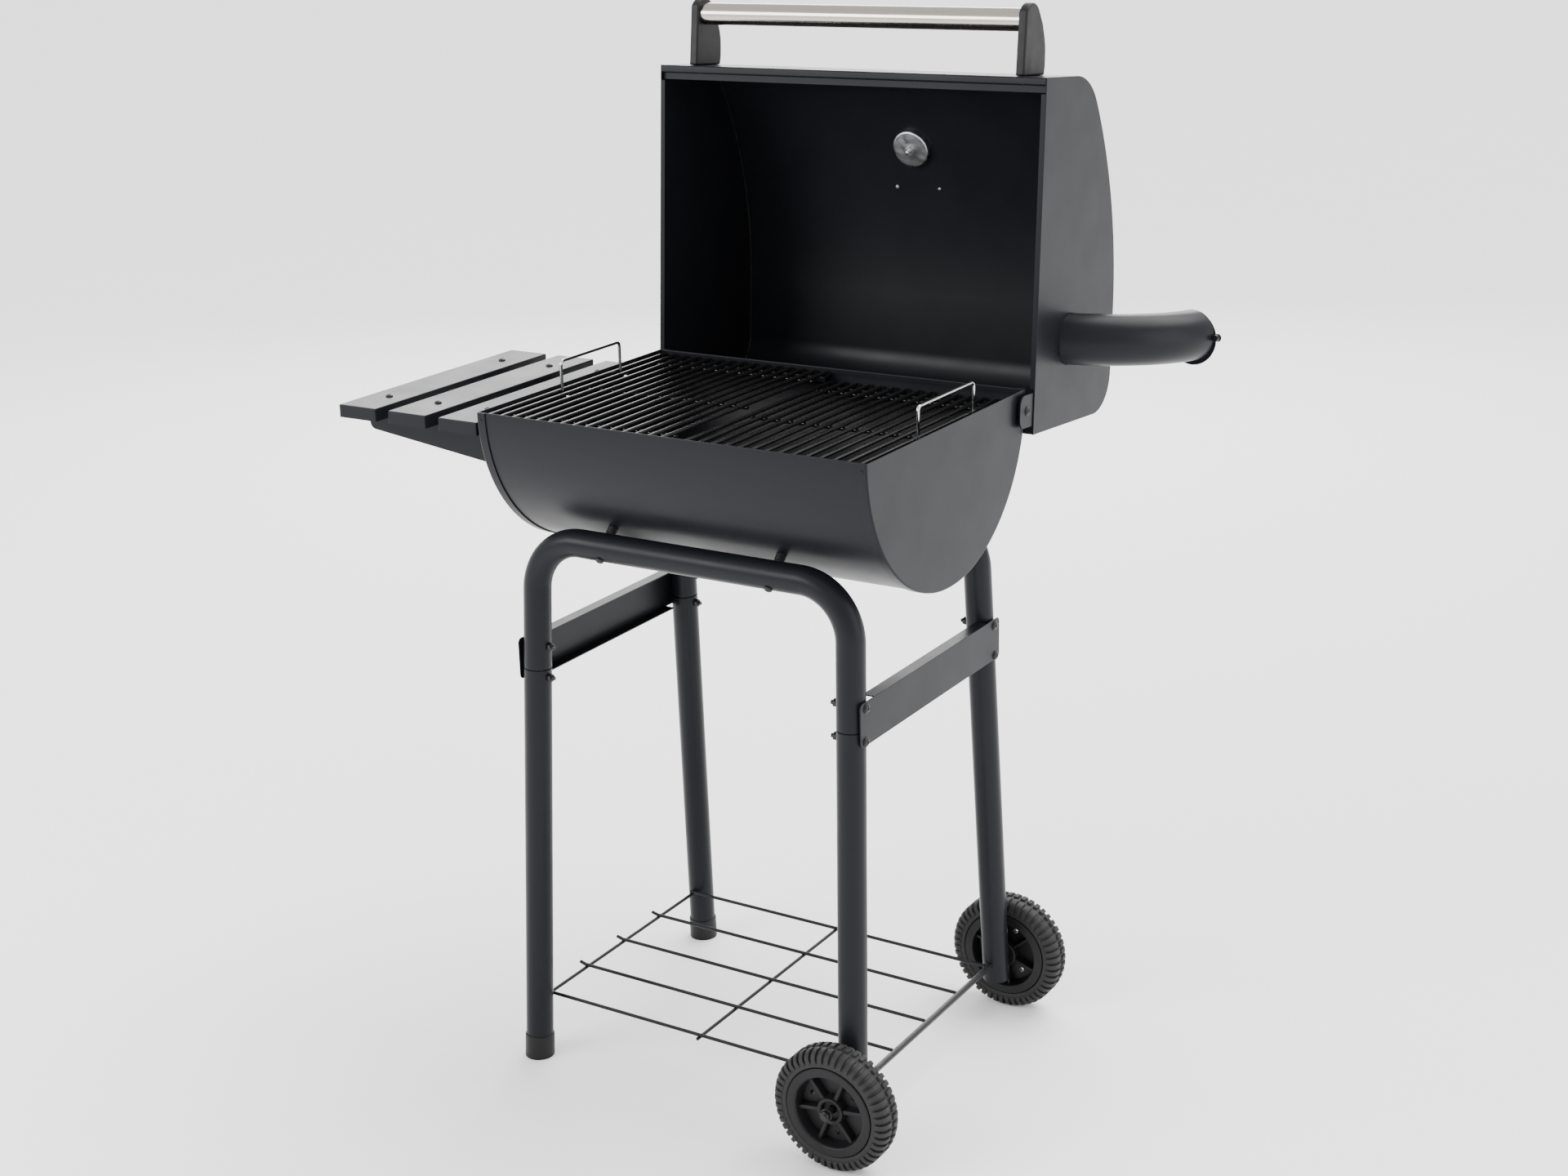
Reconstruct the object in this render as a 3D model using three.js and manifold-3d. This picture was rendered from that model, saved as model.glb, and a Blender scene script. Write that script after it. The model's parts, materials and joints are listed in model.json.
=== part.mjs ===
// Barrel charcoal grill on a wheeled tube stand, lid open. Millimetres, X right, Y back, Z up,
// ground at Z = 0. Everything is laid out about the bowl: X = 0 and Y = 0 run through its middle.
// At the end the whole grill is moved so that the origin is on the ground under the middle of its
// overall box. Pieces that touch keep a 0.3 mm gap.
import * as THREE from 'three';
import { mergeVertices } from 'three/addons/utils/BufferGeometryUtils.js';
import Module from 'manifold-3d';

// ---------- driving dimensions ----------
const GAP = 0.3; // between pieces that touch
const TUBE_SIDES = 12; // facets around a frame tube
const ROUND_SIDES = 20; // facets around larger round pieces
const WHEEL_SIDES = 24; // facets around hub and tyre, which share them so that they nest
const SHEET = 1.2; // bowl, lid and slat sheet
const PLATE = 1.5; // side plates, brackets and rails

const BOWL_LENGTH = 524; // over the outer faces of the end plates
const BOWL_RADIUS = 190.6; // outside of the shell
const RIM_Z = 832;
const RIM_HEM_DEPTH = 7; // folded edge along both long rims
const RIM_HEM_WIDTH = 3.5;
const END_FLANGE = 12; // end plate rim lapped over the shell

const LID_OVERHANG = 8; // lid's ends beyond the bowl's ends
const LID_LENGTH = BOWL_LENGTH + 2 * LID_OVERHANG;
const LID_WIDTH = 2 * BOWL_RADIUS + 37.8; // across the opening, rear edge to front edge
const LID_DEPTH = 221; // opening to the highest point when shut
const LID_REAR_CORNER = 48;
const LID_CROWN_START = 125; // where the flat top begins to fall, from the rear edge
const LID_CROWN_RADIUS = 485;
const LID_FRONT_CORNER = 70;
const LID_LIP = 8; // lip turned in along the rear and front edges
const LID_LIP_STEP = 5; // second strip of the front edge, set back behind its lip
const LID_END_LIP = 5.5;
const LID_TILT = 4.24; // degrees the opening leans back past upright
const LID_REAR_EDGE = [BOWL_RADIUS + 4.4, RIM_Z - 57]; // Y and Z of the opening's rear edge with the lid up
const HINGE_FROM_REAR_EDGE = 31; // pivot to rear edge along the opening
const HINGE_BELOW_EDGE = 15.3; // pivot to the plane of the opening
const HINGE_EAR_X = BOWL_LENGTH / 2 + 4.2; // inner face of the ear
const HINGE_EAR_THICK = 2.3;
const HINGE_EAR_HALF = 20; // half the ear's width along the opening
const HINGE_EAR_TOP = 22; // how far the ear runs up the lid's end
const HINGE_EAR_CORNER = 12;
const HINGE_BOLT_RADIUS = 3;
const HINGE_COLLAR_RADIUS = 7;

const HANDLE_TUBE_RADIUS = 14;
const HANDLE_OUT = 64; // tube axis beyond the lid's front wall
const HANDLE_UP = 33; // tube axis above the opening plane
const HANDLE_NOSE_RADIUS = HANDLE_TUBE_RADIUS + 6; // bracket around the tube
const HANDLE_INNER_X = 223;
const HANDLE_BRACKET_THICK = 11.5;

const CHIMNEY_RADIUS = 31.5;
const CHIMNEY_FROM_REAR_EDGE = 105;
const CHIMNEY_FROM_OPENING = 92;
const CHIMNEY_BEND_RADIUS = 150;
const CHIMNEY_BEND_START = 15; // degrees from the long axis
const CHIMNEY_BEND_END = 80;
const CHIMNEY_STEPS = 6;
const DAMPER_RADIUS = CHIMNEY_RADIUS + 2;
const DAMPER_PIVOT = CHIMNEY_RADIUS + 4; // screw axis from the outlet's centre
const DAMPER_SWUNG = 6; // degrees the damper already stands open

const THERMO_FROM_REAR_EDGE = 319;
const THERMO_BODY_RADIUS = 25;
const THERMO_BEZEL_RADIUS = 33;

const GRATE_BARS = 15;
const GRATE_PITCH = (BOWL_LENGTH / 2 - 17) / (GRATE_BARS - 1);
const GRATE_BAR = 5; // bar thickness
const GRATE_HALF_LENGTH = BOWL_RADIUS - 5.1;
const GRATE_LEFT_X = 8 - BOWL_LENGTH / 2; // first bar of the left grate
const GRATE_RIGHT_X = -1;
const GRATE_LEFT_TOP = RIM_Z - 3;
const GRATE_RIGHT_TOP = RIM_Z - 14;
const GRATE_ROD_REACH = GRATE_HALF_LENGTH - 35.5; // the outer rods stay clear of the ledges
const GRATE_ROD_Y = [-GRATE_ROD_REACH, 0, GRATE_ROD_REACH];
const BAIL_WIRE_RADIUS = 2;
const BAIL_RISE = 36;
const BAIL_LEFT_Y = [-45, 77];
const BAIL_RIGHT_Y = [-23, 113];
const BAIL_CORNER = 5;
const BAIL_LEFT_X = GRATE_LEFT_X + 7; // between the first two bars
const BAIL_RIGHT_X = GRATE_RIGHT_X + (GRATE_BARS - 2) * GRATE_PITCH + 6; // between the last two bars
const BAIL_FOOT = 14; // length of the feet that hook under a bar
const COAL_BARS = 16;
const COAL_TOP = RIM_Z - 112;
const COAL_ROD_Y = [-75, 75];

const TUBE_RADIUS = 17;
const TUBE_WALL = 1.2;
const FRAME_TOP_Z = RIM_Z - 156; // axis of the top run of each U frame
const FRAME_TOP_X = 215.5;
const BOWL_SPACER_LENGTH = 8.816; // bowl's shell to the tube's surface
const BOWL_TO_FRAME = BOWL_RADIUS + BOWL_SPACER_LENGTH + TUBE_RADIUS;
const FRAME_TOP_Y = Math.sqrt(BOWL_TO_FRAME ** 2 - (RIM_Z - FRAME_TOP_Z) ** 2);
const SPLAY_X = 0.0195; // leg lean per mm of drop
const SPLAY_Y = 0.0562;
const FRAME_BEND = 65;
const BOWL_BOLT_X = 116;
const BOWL_BOLT_RADIUS = 3;
const BOWL_SPACER_RADIUS = 8;
const SEAM_Z = FRAME_TOP_Z - 163; // lower leg meets the U frame
const SPIGOT_LENGTH = 40;
const SIDE_PLATE_Z = [SEAM_Z - 16, SEAM_Z + 36];
const SIDE_PLATE_HALF = FRAME_TOP_Y + 21;
const SIDE_PLATE_FLANGE = 14;
const FRAME_BOLT_Z = [SEAM_Z - 11, SEAM_Z + 28];
const FRAME_BOLT_RADIUS = 3;
const FOOT_HEIGHT = 30;
const FOOT_RADIUS = TUBE_RADIUS + 1.5;

const WHEEL_RADIUS = 75;
const WHEEL_WIDTH = 40;
const WHEEL_LEG_Y = FRAME_TOP_Y + SPLAY_Y * (FRAME_TOP_Z - WHEEL_RADIUS); // leg's axis level with the axle
const WHEEL_Y = WHEEL_LEG_Y + TUBE_RADIUS + 22.724;
const HUB_RIM_RADIUS = WHEEL_RADIUS - 20;
const HUB_DISH_RADIUS = HUB_RIM_RADIUS - 12;
const HUB_BOSS_RADIUS = 17;
const AXLE_RADIUS = 4;
const AXLE_COLLAR_RADIUS = 7.5;
const AXLE_X = FRAME_TOP_X + SPLAY_X * (FRAME_TOP_Z - WHEEL_RADIUS);
const WHEEL_LEG_BOTTOM = WHEEL_RADIUS - 23;
const SHELF_WIRE_RADIUS = 2.2;
const SHELF_WIRE_Z = WHEEL_RADIUS + 0.4; // the wires end at the axle
const SHELF_WIRES = 5;
const SHELF_HALF = WHEEL_LEG_Y - TUBE_RADIUS - 3.276; // middle to the outermost long wires
const SHELF_LEFT_X = -FRAME_TOP_X - 13.5;
const SHELF_OVERHANG = 10;
const SHELF_TIP_RISE = 2.5;

const SLATS = 3;
const SLAT_WIDTH = 58;
const SLAT_PITCH = 78;
const SLAT_LENGTH = 343;
const SLAT_HEIGHT = 16;
const SLAT_TOP = RIM_Z - 17;
const SLAT_FIRST_X = -BOWL_LENGTH / 2 - 227; // outer edge of the outermost slat
const SLAT_CENTRE_Y = -7;
const BRACKET_Y = [-126, 112];
const BRACKET_FLANGE = 14;
const BRACKET_TIP_DEPTH = 25;
const BRACKET_ROOT_DEPTH = 53;

const NUT_RADIUS = 5.4;
const NUT_HEIGHT = 4.5;
const THREAD_SHOWN = 3.5; // bolt beyond its nut
const HEAD_RADIUS = 6;
const HEAD_HEIGHT = 3.4;

// ---------- derived positions ----------
const RAD = Math.PI / 180;
const BOWL_HALF = BOWL_LENGTH / 2;
const LID_HALF = LID_LENGTH / 2;
const SHELL_HALF = BOWL_HALF - SHEET - GAP;
const BOWL_INNER = BOWL_RADIUS - SHEET;

const wasm = await Module();
wasm.setup();

const FINISH = {
  black: { color: 0x2a2a2c, roughness: 0.45, metalness: 0.3 },
  enamel: { color: 0x151515, roughness: 0.3, metalness: 0.1 },
  chrome: { color: 0xd8d8d8, roughness: 0.12, metalness: 1 },
  zinc: { color: 0xa8a8a4, roughness: 0.35, metalness: 1 },
  screw: { color: 0x1c1c1e, roughness: 0.35, metalness: 0.8 },
  plastic: { color: 0x1b1b1c, roughness: 0.5, metalness: 0 },
  tyre: { color: 0x202022, roughness: 0.75, metalness: 0 },
  needle: { color: 0xb01818, roughness: 0.4, metalness: 0 },
};

// ---------- solid helpers ----------
// Welds a geometry, drops collapsed triangles and turns it the right way out.
function toSolid(geometry) {
  const plain = geometry.clone();
  plain.deleteAttribute('normal');
  plain.deleteAttribute('uv');
  const welded = mergeVertices(plain, 1e-4);
  const position = welded.attributes.position.array;
  const source = welded.index.array;
  const triangles = [];
  let volume = 0;
  for (let i = 0; i < source.length; i += 3) {
    const [a, b, c] = [source[i], source[i + 1], source[i + 2]];
    if (a === b || b === c || c === a) continue;
    triangles.push([a, b, c]);
    const [p, q, r] = [a, b, c].map((k) => new THREE.Vector3().fromArray(position, 3 * k));
    volume += p.dot(q.cross(r));
  }
  const ordered = volume < 0 ? triangles.map(([a, b, c]) => [a, c, b]) : triangles;
  return new wasm.Manifold(new wasm.Mesh({
    numProp: 3,
    vertProperties: new Float32Array(position),
    triVerts: new Uint32Array(ordered.flat()),
  }));
}

// Extrudes an outline along an axis. The outline is in YZ for x, XZ for y and XY for z.
function prism(outline, axis, low, high) {
  const shape = new THREE.Shape(outline.map(([a, b]) => new THREE.Vector2(a, b)));
  const geometry = new THREE.ExtrudeGeometry(shape, { depth: high - low, bevelEnabled: false, steps: 1 });
  const ex = new THREE.Vector3(1, 0, 0);
  const ey = new THREE.Vector3(0, 1, 0);
  const ez = new THREE.Vector3(0, 0, 1);
  const basis = new THREE.Matrix4();
  if (axis === 'x') basis.makeBasis(ey, ez, ex).setPosition(low, 0, 0);
  if (axis === 'y') basis.makeBasis(ex, ez, ey.clone().negate()).setPosition(0, high, 0);
  if (axis === 'z') basis.makeBasis(ex, ey, ez).setPosition(0, 0, low);
  return toSolid(geometry.applyMatrix4(basis));
}

function box(x0, x1, y0, y1, z0, z1) {
  return prism([[x0, y0], [x1, y0], [x1, y1], [x0, y1]], 'z', z0, z1);
}

// Turns a profile of [radius, height] pairs about a line from a point along a direction.
function turned(profile, origin, direction, sides = 24) {
  const points = profile.map(([r, h]) => new THREE.Vector2(Math.max(r, 0), h));
  const geometry = new THREE.LatheGeometry(points, sides);
  const along = new THREE.Vector3(...direction).normalize();
  const spin = new THREE.Quaternion().setFromUnitVectors(new THREE.Vector3(0, 1, 0), along);
  geometry.applyQuaternion(spin).translate(...origin);
  return toSolid(geometry);
}

function disc(radius, low, high, origin, direction, sides = 24) {
  return turned([[0, low], [radius, low], [radius, high], [0, high]], origin, direction, sides);
}

// Replaces each inner corner of a path by an arc of the given radius.
function rounded(points, radius, steps) {
  const path = points.map((p) => new THREE.Vector3(...p));
  const out = [path[0]];
  for (let i = 1; i < path.length - 1; i++) {
    const toPrev = path[i - 1].clone().sub(path[i]).normalize();
    const toNext = path[i + 1].clone().sub(path[i]).normalize();
    const half = toPrev.angleTo(toNext) / 2;
    const inward = toPrev.clone().add(toNext).normalize();
    const centre = path[i].clone().addScaledVector(inward, radius / Math.sin(half));
    const start = path[i].clone().add(toPrev.multiplyScalar(radius / Math.tan(half))).sub(centre);
    const end = path[i].clone().add(toNext.multiplyScalar(radius / Math.tan(half))).sub(centre);
    const turn = start.angleTo(end);
    for (let k = 0; k <= steps; k++) {
      const t = k / steps;
      const a = Math.sin((1 - t) * turn) / Math.sin(turn);
      const b = Math.sin(t * turn) / Math.sin(turn);
      out.push(centre.clone().add(start.clone().multiplyScalar(a)).add(end.clone().multiplyScalar(b)));
    }
  }
  out.push(path[path.length - 1]);
  return out;
}

// Sweeps a round section along a path, with flat ends.
function swept(path, radius, sides) {
  const points = path.map((p) => (p.isVector3 ? p : new THREE.Vector3(...p)));
  const count = points.length;
  const tangents = points.map((p, i) => {
    const before = points[Math.max(i - 1, 0)];
    const after = points[Math.min(i + 1, count - 1)];
    return after.clone().sub(before).normalize();
  });
  const seed = Math.abs(tangents[0].z) < 0.9 ? new THREE.Vector3(0, 0, 1) : new THREE.Vector3(0, 1, 0);
  let normal = seed.sub(tangents[0].clone().multiplyScalar(seed.dot(tangents[0]))).normalize();
  const vertices = [];
  points.forEach((point, i) => {
    normal = normal.clone().sub(tangents[i].clone().multiplyScalar(normal.dot(tangents[i]))).normalize();
    const side = tangents[i].clone().cross(normal);
    for (let k = 0; k < sides; k++) {
      const angle = (2 * Math.PI * (k + 0.5)) / sides;
      const across = normal.clone().multiplyScalar(radius * Math.cos(angle));
      vertices.push(point.clone().add(across).addScaledVector(side, radius * Math.sin(angle)));
    }
  });
  const faces = [];
  for (let i = 0; i < count - 1; i++) {
    for (let k = 0; k < sides; k++) {
      const next = (k + 1) % sides;
      const [a, b] = [i * sides + k, i * sides + next];
      faces.push([a, b, b + sides], [a, b + sides, a + sides]);
    }
  }
  const last = (count - 1) * sides;
  for (let k = 1; k < sides - 1; k++) faces.push([0, k + 1, k], [last, last + k, last + k + 1]);
  const geometry = new THREE.BufferGeometry().setFromPoints(vertices);
  geometry.setIndex(faces.flat());
  return toSolid(geometry);
}

// Moves both ends of a path outward, so that a bore cut along it runs out through the end faces.
function extended(path, reach) {
  const out = path.map((p) => p.clone());
  const n = out.length;
  out[0].add(path[0].clone().sub(path[1]).normalize().multiplyScalar(reach));
  out[n - 1].add(path[n - 1].clone().sub(path[n - 2]).normalize().multiplyScalar(reach));
  return out;
}

function pipe(path, outer, inner, sides) {
  return swept(path, outer, sides).subtract(swept(extended(path, 1), inner, sides));
}

const join = (...solids) => solids.reduce((all, next) => all.add(next));
const cut = (solid, ...tools) => tools.reduce((left, tool) => left.subtract(tool), solid);
const between = (count, make) => Array.from({ length: count }, (_, i) => make(i));

const group = new THREE.Group();
group.name = 'barrel_charcoal_grill';

function piece(name, solid, finish) {
  const mesh = solid.getMesh();
  const geometry = new THREE.BufferGeometry();
  const count = mesh.vertProperties.length / mesh.numProp;
  const position = new Float32Array(count * 3);
  for (let i = 0; i < count; i++) {
    for (let k = 0; k < 3; k++) position[3 * i + k] = mesh.vertProperties[i * mesh.numProp + k];
  }
  geometry.setAttribute('position', new THREE.BufferAttribute(position, 3));
  geometry.setIndex(Array.from(mesh.triVerts));
  geometry.computeVertexNormals();
  const made = new THREE.Mesh(geometry, new THREE.MeshStandardMaterial(FINISH[finish]));
  made.name = name;
  group.add(made);
}

// ---------- bowl ----------
function arc(radius, from, to, steps, centre = [0, 0]) {
  return between(steps + 1, (i) => {
    const angle = (from + ((to - from) * i) / steps) * RAD;
    return [centre[0] + radius * Math.cos(angle), centre[1] + radius * Math.sin(angle)];
  });
}

const BOWL_STEPS = 24;
// Radius at the middle of a facet of the shell's inside.
const BOWL_CLEAR = BOWL_INNER * Math.cos(Math.PI / (2 * BOWL_STEPS));
const bowlArc = (radius) => arc(radius, 180, 360, BOWL_STEPS, [0, RIM_Z]);

// Four bolts hold the bowl to the top runs of the U frames. Each points at the bowl's axis.
function aboutBowlBolt(profile, sideX, sideY, sides) {
  const direction = [0, sideY * FRAME_TOP_Y, FRAME_TOP_Z - RIM_Z];
  return turned(profile, [sideX * BOWL_BOLT_X, 0, RIM_Z], direction, sides);
}
function bowlBoltHole(sideX, sideY) {
  const r = BOWL_BOLT_RADIUS + GAP;
  const [from, to] = [BOWL_INNER - 40, BOWL_TO_FRAME + TUBE_RADIUS + 10];
  return aboutBowlBolt([[0, from], [r, from], [r, to], [0, to]], sideX, sideY, 10);
}
const CORNERS = [[-1, -1], [1, -1], [-1, 1], [1, 1]];

function bowlShell() {
  const section = [...bowlArc(BOWL_RADIUS), ...bowlArc(BOWL_INNER).reverse()];
  const shell = prism(section, 'x', -SHELL_HALF, SHELL_HALF);
  const hems = [-1, 1].map((side) => {
    const outer = side * (BOWL_RADIUS - 0.4);
    const inner = side * (BOWL_RADIUS - RIM_HEM_WIDTH);
    const low = RIM_Z - RIM_HEM_DEPTH;
    return prism([[outer, RIM_Z], [inner, RIM_Z], [inner, low], [outer, low]], 'x', -SHELL_HALF, SHELL_HALF);
  });
  return cut(join(shell, ...hems), ...CORNERS.map(([sideX, sideY]) => bowlBoltHole(sideX, sideY)));
}

// Flat head inside the bowl, a collar between bowl and tube, and a nut on the far side of the tube.
function bowlBolt(sideX, sideY) {
  const r = BOWL_BOLT_RADIUS;
  const seat = BOWL_CLEAR - 0.5;
  const nut = BOWL_TO_FRAME + TUBE_RADIUS + GAP;
  const profile = [
    [0, seat - 2.7], [4, seat - 2.7], [7, seat - 1.3], [7, seat], [r, seat],
    [r, BOWL_RADIUS + GAP], [BOWL_SPACER_RADIUS, BOWL_RADIUS + GAP],
    [BOWL_SPACER_RADIUS, BOWL_TO_FRAME - TUBE_RADIUS - GAP], [r, BOWL_TO_FRAME - TUBE_RADIUS - GAP],
    [r, nut], [NUT_RADIUS, nut], [NUT_RADIUS, nut + NUT_HEIGHT], [r, nut + NUT_HEIGHT],
    [r, nut + NUT_HEIGHT + THREAD_SHOWN], [0, nut + NUT_HEIGHT + THREAD_SHOWN],
  ];
  return aboutBowlBolt(profile, sideX, sideY, 10);
}

const HINGE = (() => {
  const tilt = LID_TILT * RAD;
  const [y, z] = LID_REAR_EDGE;
  const u = HINGE_FROM_REAR_EDGE;
  const v = -HINGE_BELOW_EDGE;
  return [y + u * Math.sin(tilt) + v * Math.cos(tilt), z + u * Math.cos(tilt) - v * Math.sin(tilt)];
})();

function bowlEnd(side) {
  const flangeOuter = BOWL_RADIUS + GAP + SHEET;
  const outer = prism(bowlArc(flangeOuter), 'x', BOWL_HALF - END_FLANGE, BOWL_HALF);
  const hollow = prism(
    [[-BOWL_RADIUS - GAP, RIM_Z + 5], ...bowlArc(BOWL_RADIUS + GAP), [BOWL_RADIUS + GAP, RIM_Z + 5]],
    'x', BOWL_HALF - END_FLANGE - 1, BOWL_HALF - SHEET,
  );
  const hole = disc(HINGE_BOLT_RADIUS + GAP, -5, 5, [BOWL_HALF, ...HINGE], [1, 0, 0], 12);
  const right = cut(outer, hollow, hole);
  return side > 0 ? right : right.mirror([1, 0, 0]);
}

piece('bowl_shell', bowlShell(), 'black');
piece('bowl_end_left', bowlEnd(-1), 'black');
piece('bowl_end_right', bowlEnd(1), 'black');
for (const [sideX, sideY] of CORNERS) {
  const corner = `${sideY < 0 ? 'front' : 'rear'}_${sideX < 0 ? 'left' : 'right'}`;
  piece(`bowl_bolt_${corner}`, bowlBolt(sideX, sideY), 'screw');
}

// Ledges along the inside of the shell. The left pair sits higher than the right pair, so the
// grates step down.
const RAIL_DEPTH = 15;
const RAIL_LIP = 7;
function grateRail(grateTop, x0, x1, side) {
  const top = grateTop - GRATE_BAR - GAP;
  const wall = Math.sqrt(BOWL_CLEAR ** 2 - (RIM_Z - top + PLATE) ** 2) - GAP;
  const outline = [
    [wall, top], [wall - RAIL_DEPTH, top], [wall - RAIL_DEPTH, top - RAIL_LIP],
    [wall - RAIL_DEPTH + PLATE, top - RAIL_LIP], [wall - RAIL_DEPTH + PLATE, top - PLATE], [wall, top - PLATE],
  ];
  return prism(outline.map(([y, z]) => [side * y, z]), 'x', x0, x1);
}
const RAIL_END = BOWL_HALF - 10;
const RAIL_MIDDLE = GRATE_RIGHT_X - GRATE_BAR / 2 - 1;
for (const [side, end] of [[-1, 'front'], [1, 'rear']]) {
  piece(`grate_rail_left_${end}`, grateRail(GRATE_LEFT_TOP, -RAIL_END, RAIL_MIDDLE, side), 'black');
  piece(`grate_rail_right_${end}`, grateRail(GRATE_RIGHT_TOP, RAIL_MIDDLE, RAIL_END, side), 'black');
}

// ---------- grates ----------
// Bars along Y welded on top of rods along X. Rods bite 0.8 mm into the bars, as a weld does.
function grate(firstX, pitch, bars, top, halfLength, rodY) {
  const half = GRATE_BAR / 2;
  const all = between(bars, (i) => {
    const x = firstX + pitch * i;
    return box(x - half, x + half, -halfLength, halfLength, top - GRATE_BAR, top);
  });
  const lastX = firstX + pitch * (bars - 1);
  rodY.forEach((y) => {
    const low = top - 2 * GRATE_BAR + 0.8;
    all.push(box(firstX - half, lastX + half, y - half, y + half, low, low + GRATE_BAR));
  });
  return join(...all);
}

// Lifting bail: up between two bars, across, and down again, with feet hooked under the next bar.
function bail(x, [front, back], grateTop, hook) {
  const under = grateTop - GRATE_BAR - BAIL_WIRE_RADIUS - GAP;
  const top = grateTop + BAIL_RISE;
  const corners = [
    [x + hook, front, under], [x, front, under], [x, front, top],
    [x, back, top], [x, back, under], [x + hook, back, under],
  ];
  return swept(rounded(corners, BAIL_CORNER, 3), BAIL_WIRE_RADIUS, 8);
}

piece('cooking_grate_left',
  grate(GRATE_LEFT_X, GRATE_PITCH, GRATE_BARS, GRATE_LEFT_TOP, GRATE_HALF_LENGTH, GRATE_ROD_Y), 'enamel');
piece('cooking_grate_right',
  grate(GRATE_RIGHT_X, GRATE_PITCH, GRATE_BARS, GRATE_RIGHT_TOP, GRATE_HALF_LENGTH, GRATE_ROD_Y), 'enamel');
piece('grate_handle_left', bail(BAIL_LEFT_X, BAIL_LEFT_Y, GRATE_LEFT_TOP, BAIL_FOOT), 'chrome');
piece('grate_handle_right', bail(BAIL_RIGHT_X, BAIL_RIGHT_Y, GRATE_RIGHT_TOP, -BAIL_FOOT), 'chrome');

const COAL_DROP = RIM_Z - COAL_TOP + GRATE_BAR;
const COAL_HALF = Math.sqrt(BOWL_CLEAR ** 2 - COAL_DROP ** 2) - GAP;
const COAL_SPAN = 2 * (SHELL_HALF - 12);
piece('charcoal_grate',
  grate(-COAL_SPAN / 2, COAL_SPAN / (COAL_BARS - 1), COAL_BARS, COAL_TOP, COAL_HALF, COAL_ROD_Y), 'enamel');

// ---------- lid ----------
// Lid outline in its own frame: u from the rear edge to the front edge, v away from the opening.
function lidOutline(inset) {
  const top = LID_DEPTH - inset;
  const rear = LID_REAR_CORNER - inset;
  const crown = LID_CROWN_RADIUS - inset;
  const front = LID_FRONT_CORNER - inset;
  const crownV = LID_DEPTH - LID_CROWN_RADIUS;
  const reach = LID_CROWN_RADIUS - LID_FRONT_CORNER;
  const frontU = LID_WIDTH - LID_FRONT_CORNER;
  const frontV = crownV + Math.sqrt(reach ** 2 - (frontU - LID_CROWN_START) ** 2);
  const meet = Math.atan2(frontV - crownV, frontU - LID_CROWN_START) / RAD;
  return [
    [inset, 0],
    ...arc(rear, 180, 90, 6, [LID_REAR_CORNER, top - rear]),
    ...arc(crown, 90, meet, 8, [LID_CROWN_START, crownV]),
    ...arc(front, meet, 0, 6, [frontU, frontV]).slice(1),
    [LID_WIDTH - inset, 0],
  ];
}

// Lid frame to Y and Z with the lid up.
function lidToWorld([u, v]) {
  const tilt = LID_TILT * RAD;
  const [y, z] = LID_REAR_EDGE;
  return [y + u * Math.sin(tilt) + v * Math.cos(tilt), z + u * Math.cos(tilt) - v * Math.sin(tilt)];
}
const lidPrism = (outline, x0, x1) => prism(outline.map(lidToWorld), 'x', x0, x1);
const LID_ALONG = lidToWorld([1, 0]).map((value, i) => value - LID_REAR_EDGE[i]);
const LID_OUT = lidToWorld([0, 1]).map((value, i) => value - LID_REAR_EDGE[i]);

// Point and outward direction of the crown at a distance from the rear edge.
function crownAt(u) {
  const crownV = LID_DEPTH - LID_CROWN_RADIUS;
  const angle = Math.acos((u - LID_CROWN_START) / LID_CROWN_RADIUS);
  const point = lidToWorld([u, crownV + LID_CROWN_RADIUS * Math.sin(angle)]);
  const out = LID_ALONG.map((value, i) => value * Math.cos(angle) + LID_OUT[i] * Math.sin(angle));
  return { point: [0, ...point], out: [0, ...out] };
}

const LID_SHELL_HALF = LID_HALF - SHEET - GAP;
const thermo = crownAt(THERMO_FROM_REAR_EDGE);

function lidShell() {
  const skin = lidPrism([...lidOutline(0), ...lidOutline(SHEET).reverse()], -LID_SHELL_HALF, LID_SHELL_HALF);
  const rearSection = [[0, 0], [LID_LIP, 0], [LID_LIP, SHEET], [0, SHEET]];
  const rearLip = lidPrism(rearSection, -LID_SHELL_HALF, LID_SHELL_HALF);
  const bend = LID_WIDTH - LID_LIP;
  const edge = LID_WIDTH - 2.2 * LID_LIP;
  const frontLip = lidPrism([
    [LID_WIDTH, 0], [bend, 0], [bend - 1.5, LID_LIP_STEP], [edge, LID_LIP_STEP], [edge, LID_LIP_STEP + SHEET],
    [bend - 0.6, LID_LIP_STEP + SHEET], [bend + 0.9, SHEET], [LID_WIDTH, SHEET],
  ], -LID_SHELL_HALF, LID_SHELL_HALF);
  const hole = disc(THERMO_BODY_RADIUS + GAP, -20, 20, thermo.point, thermo.out, ROUND_SIDES);
  return cut(join(skin, rearLip, frontLip), hole);
}

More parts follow.
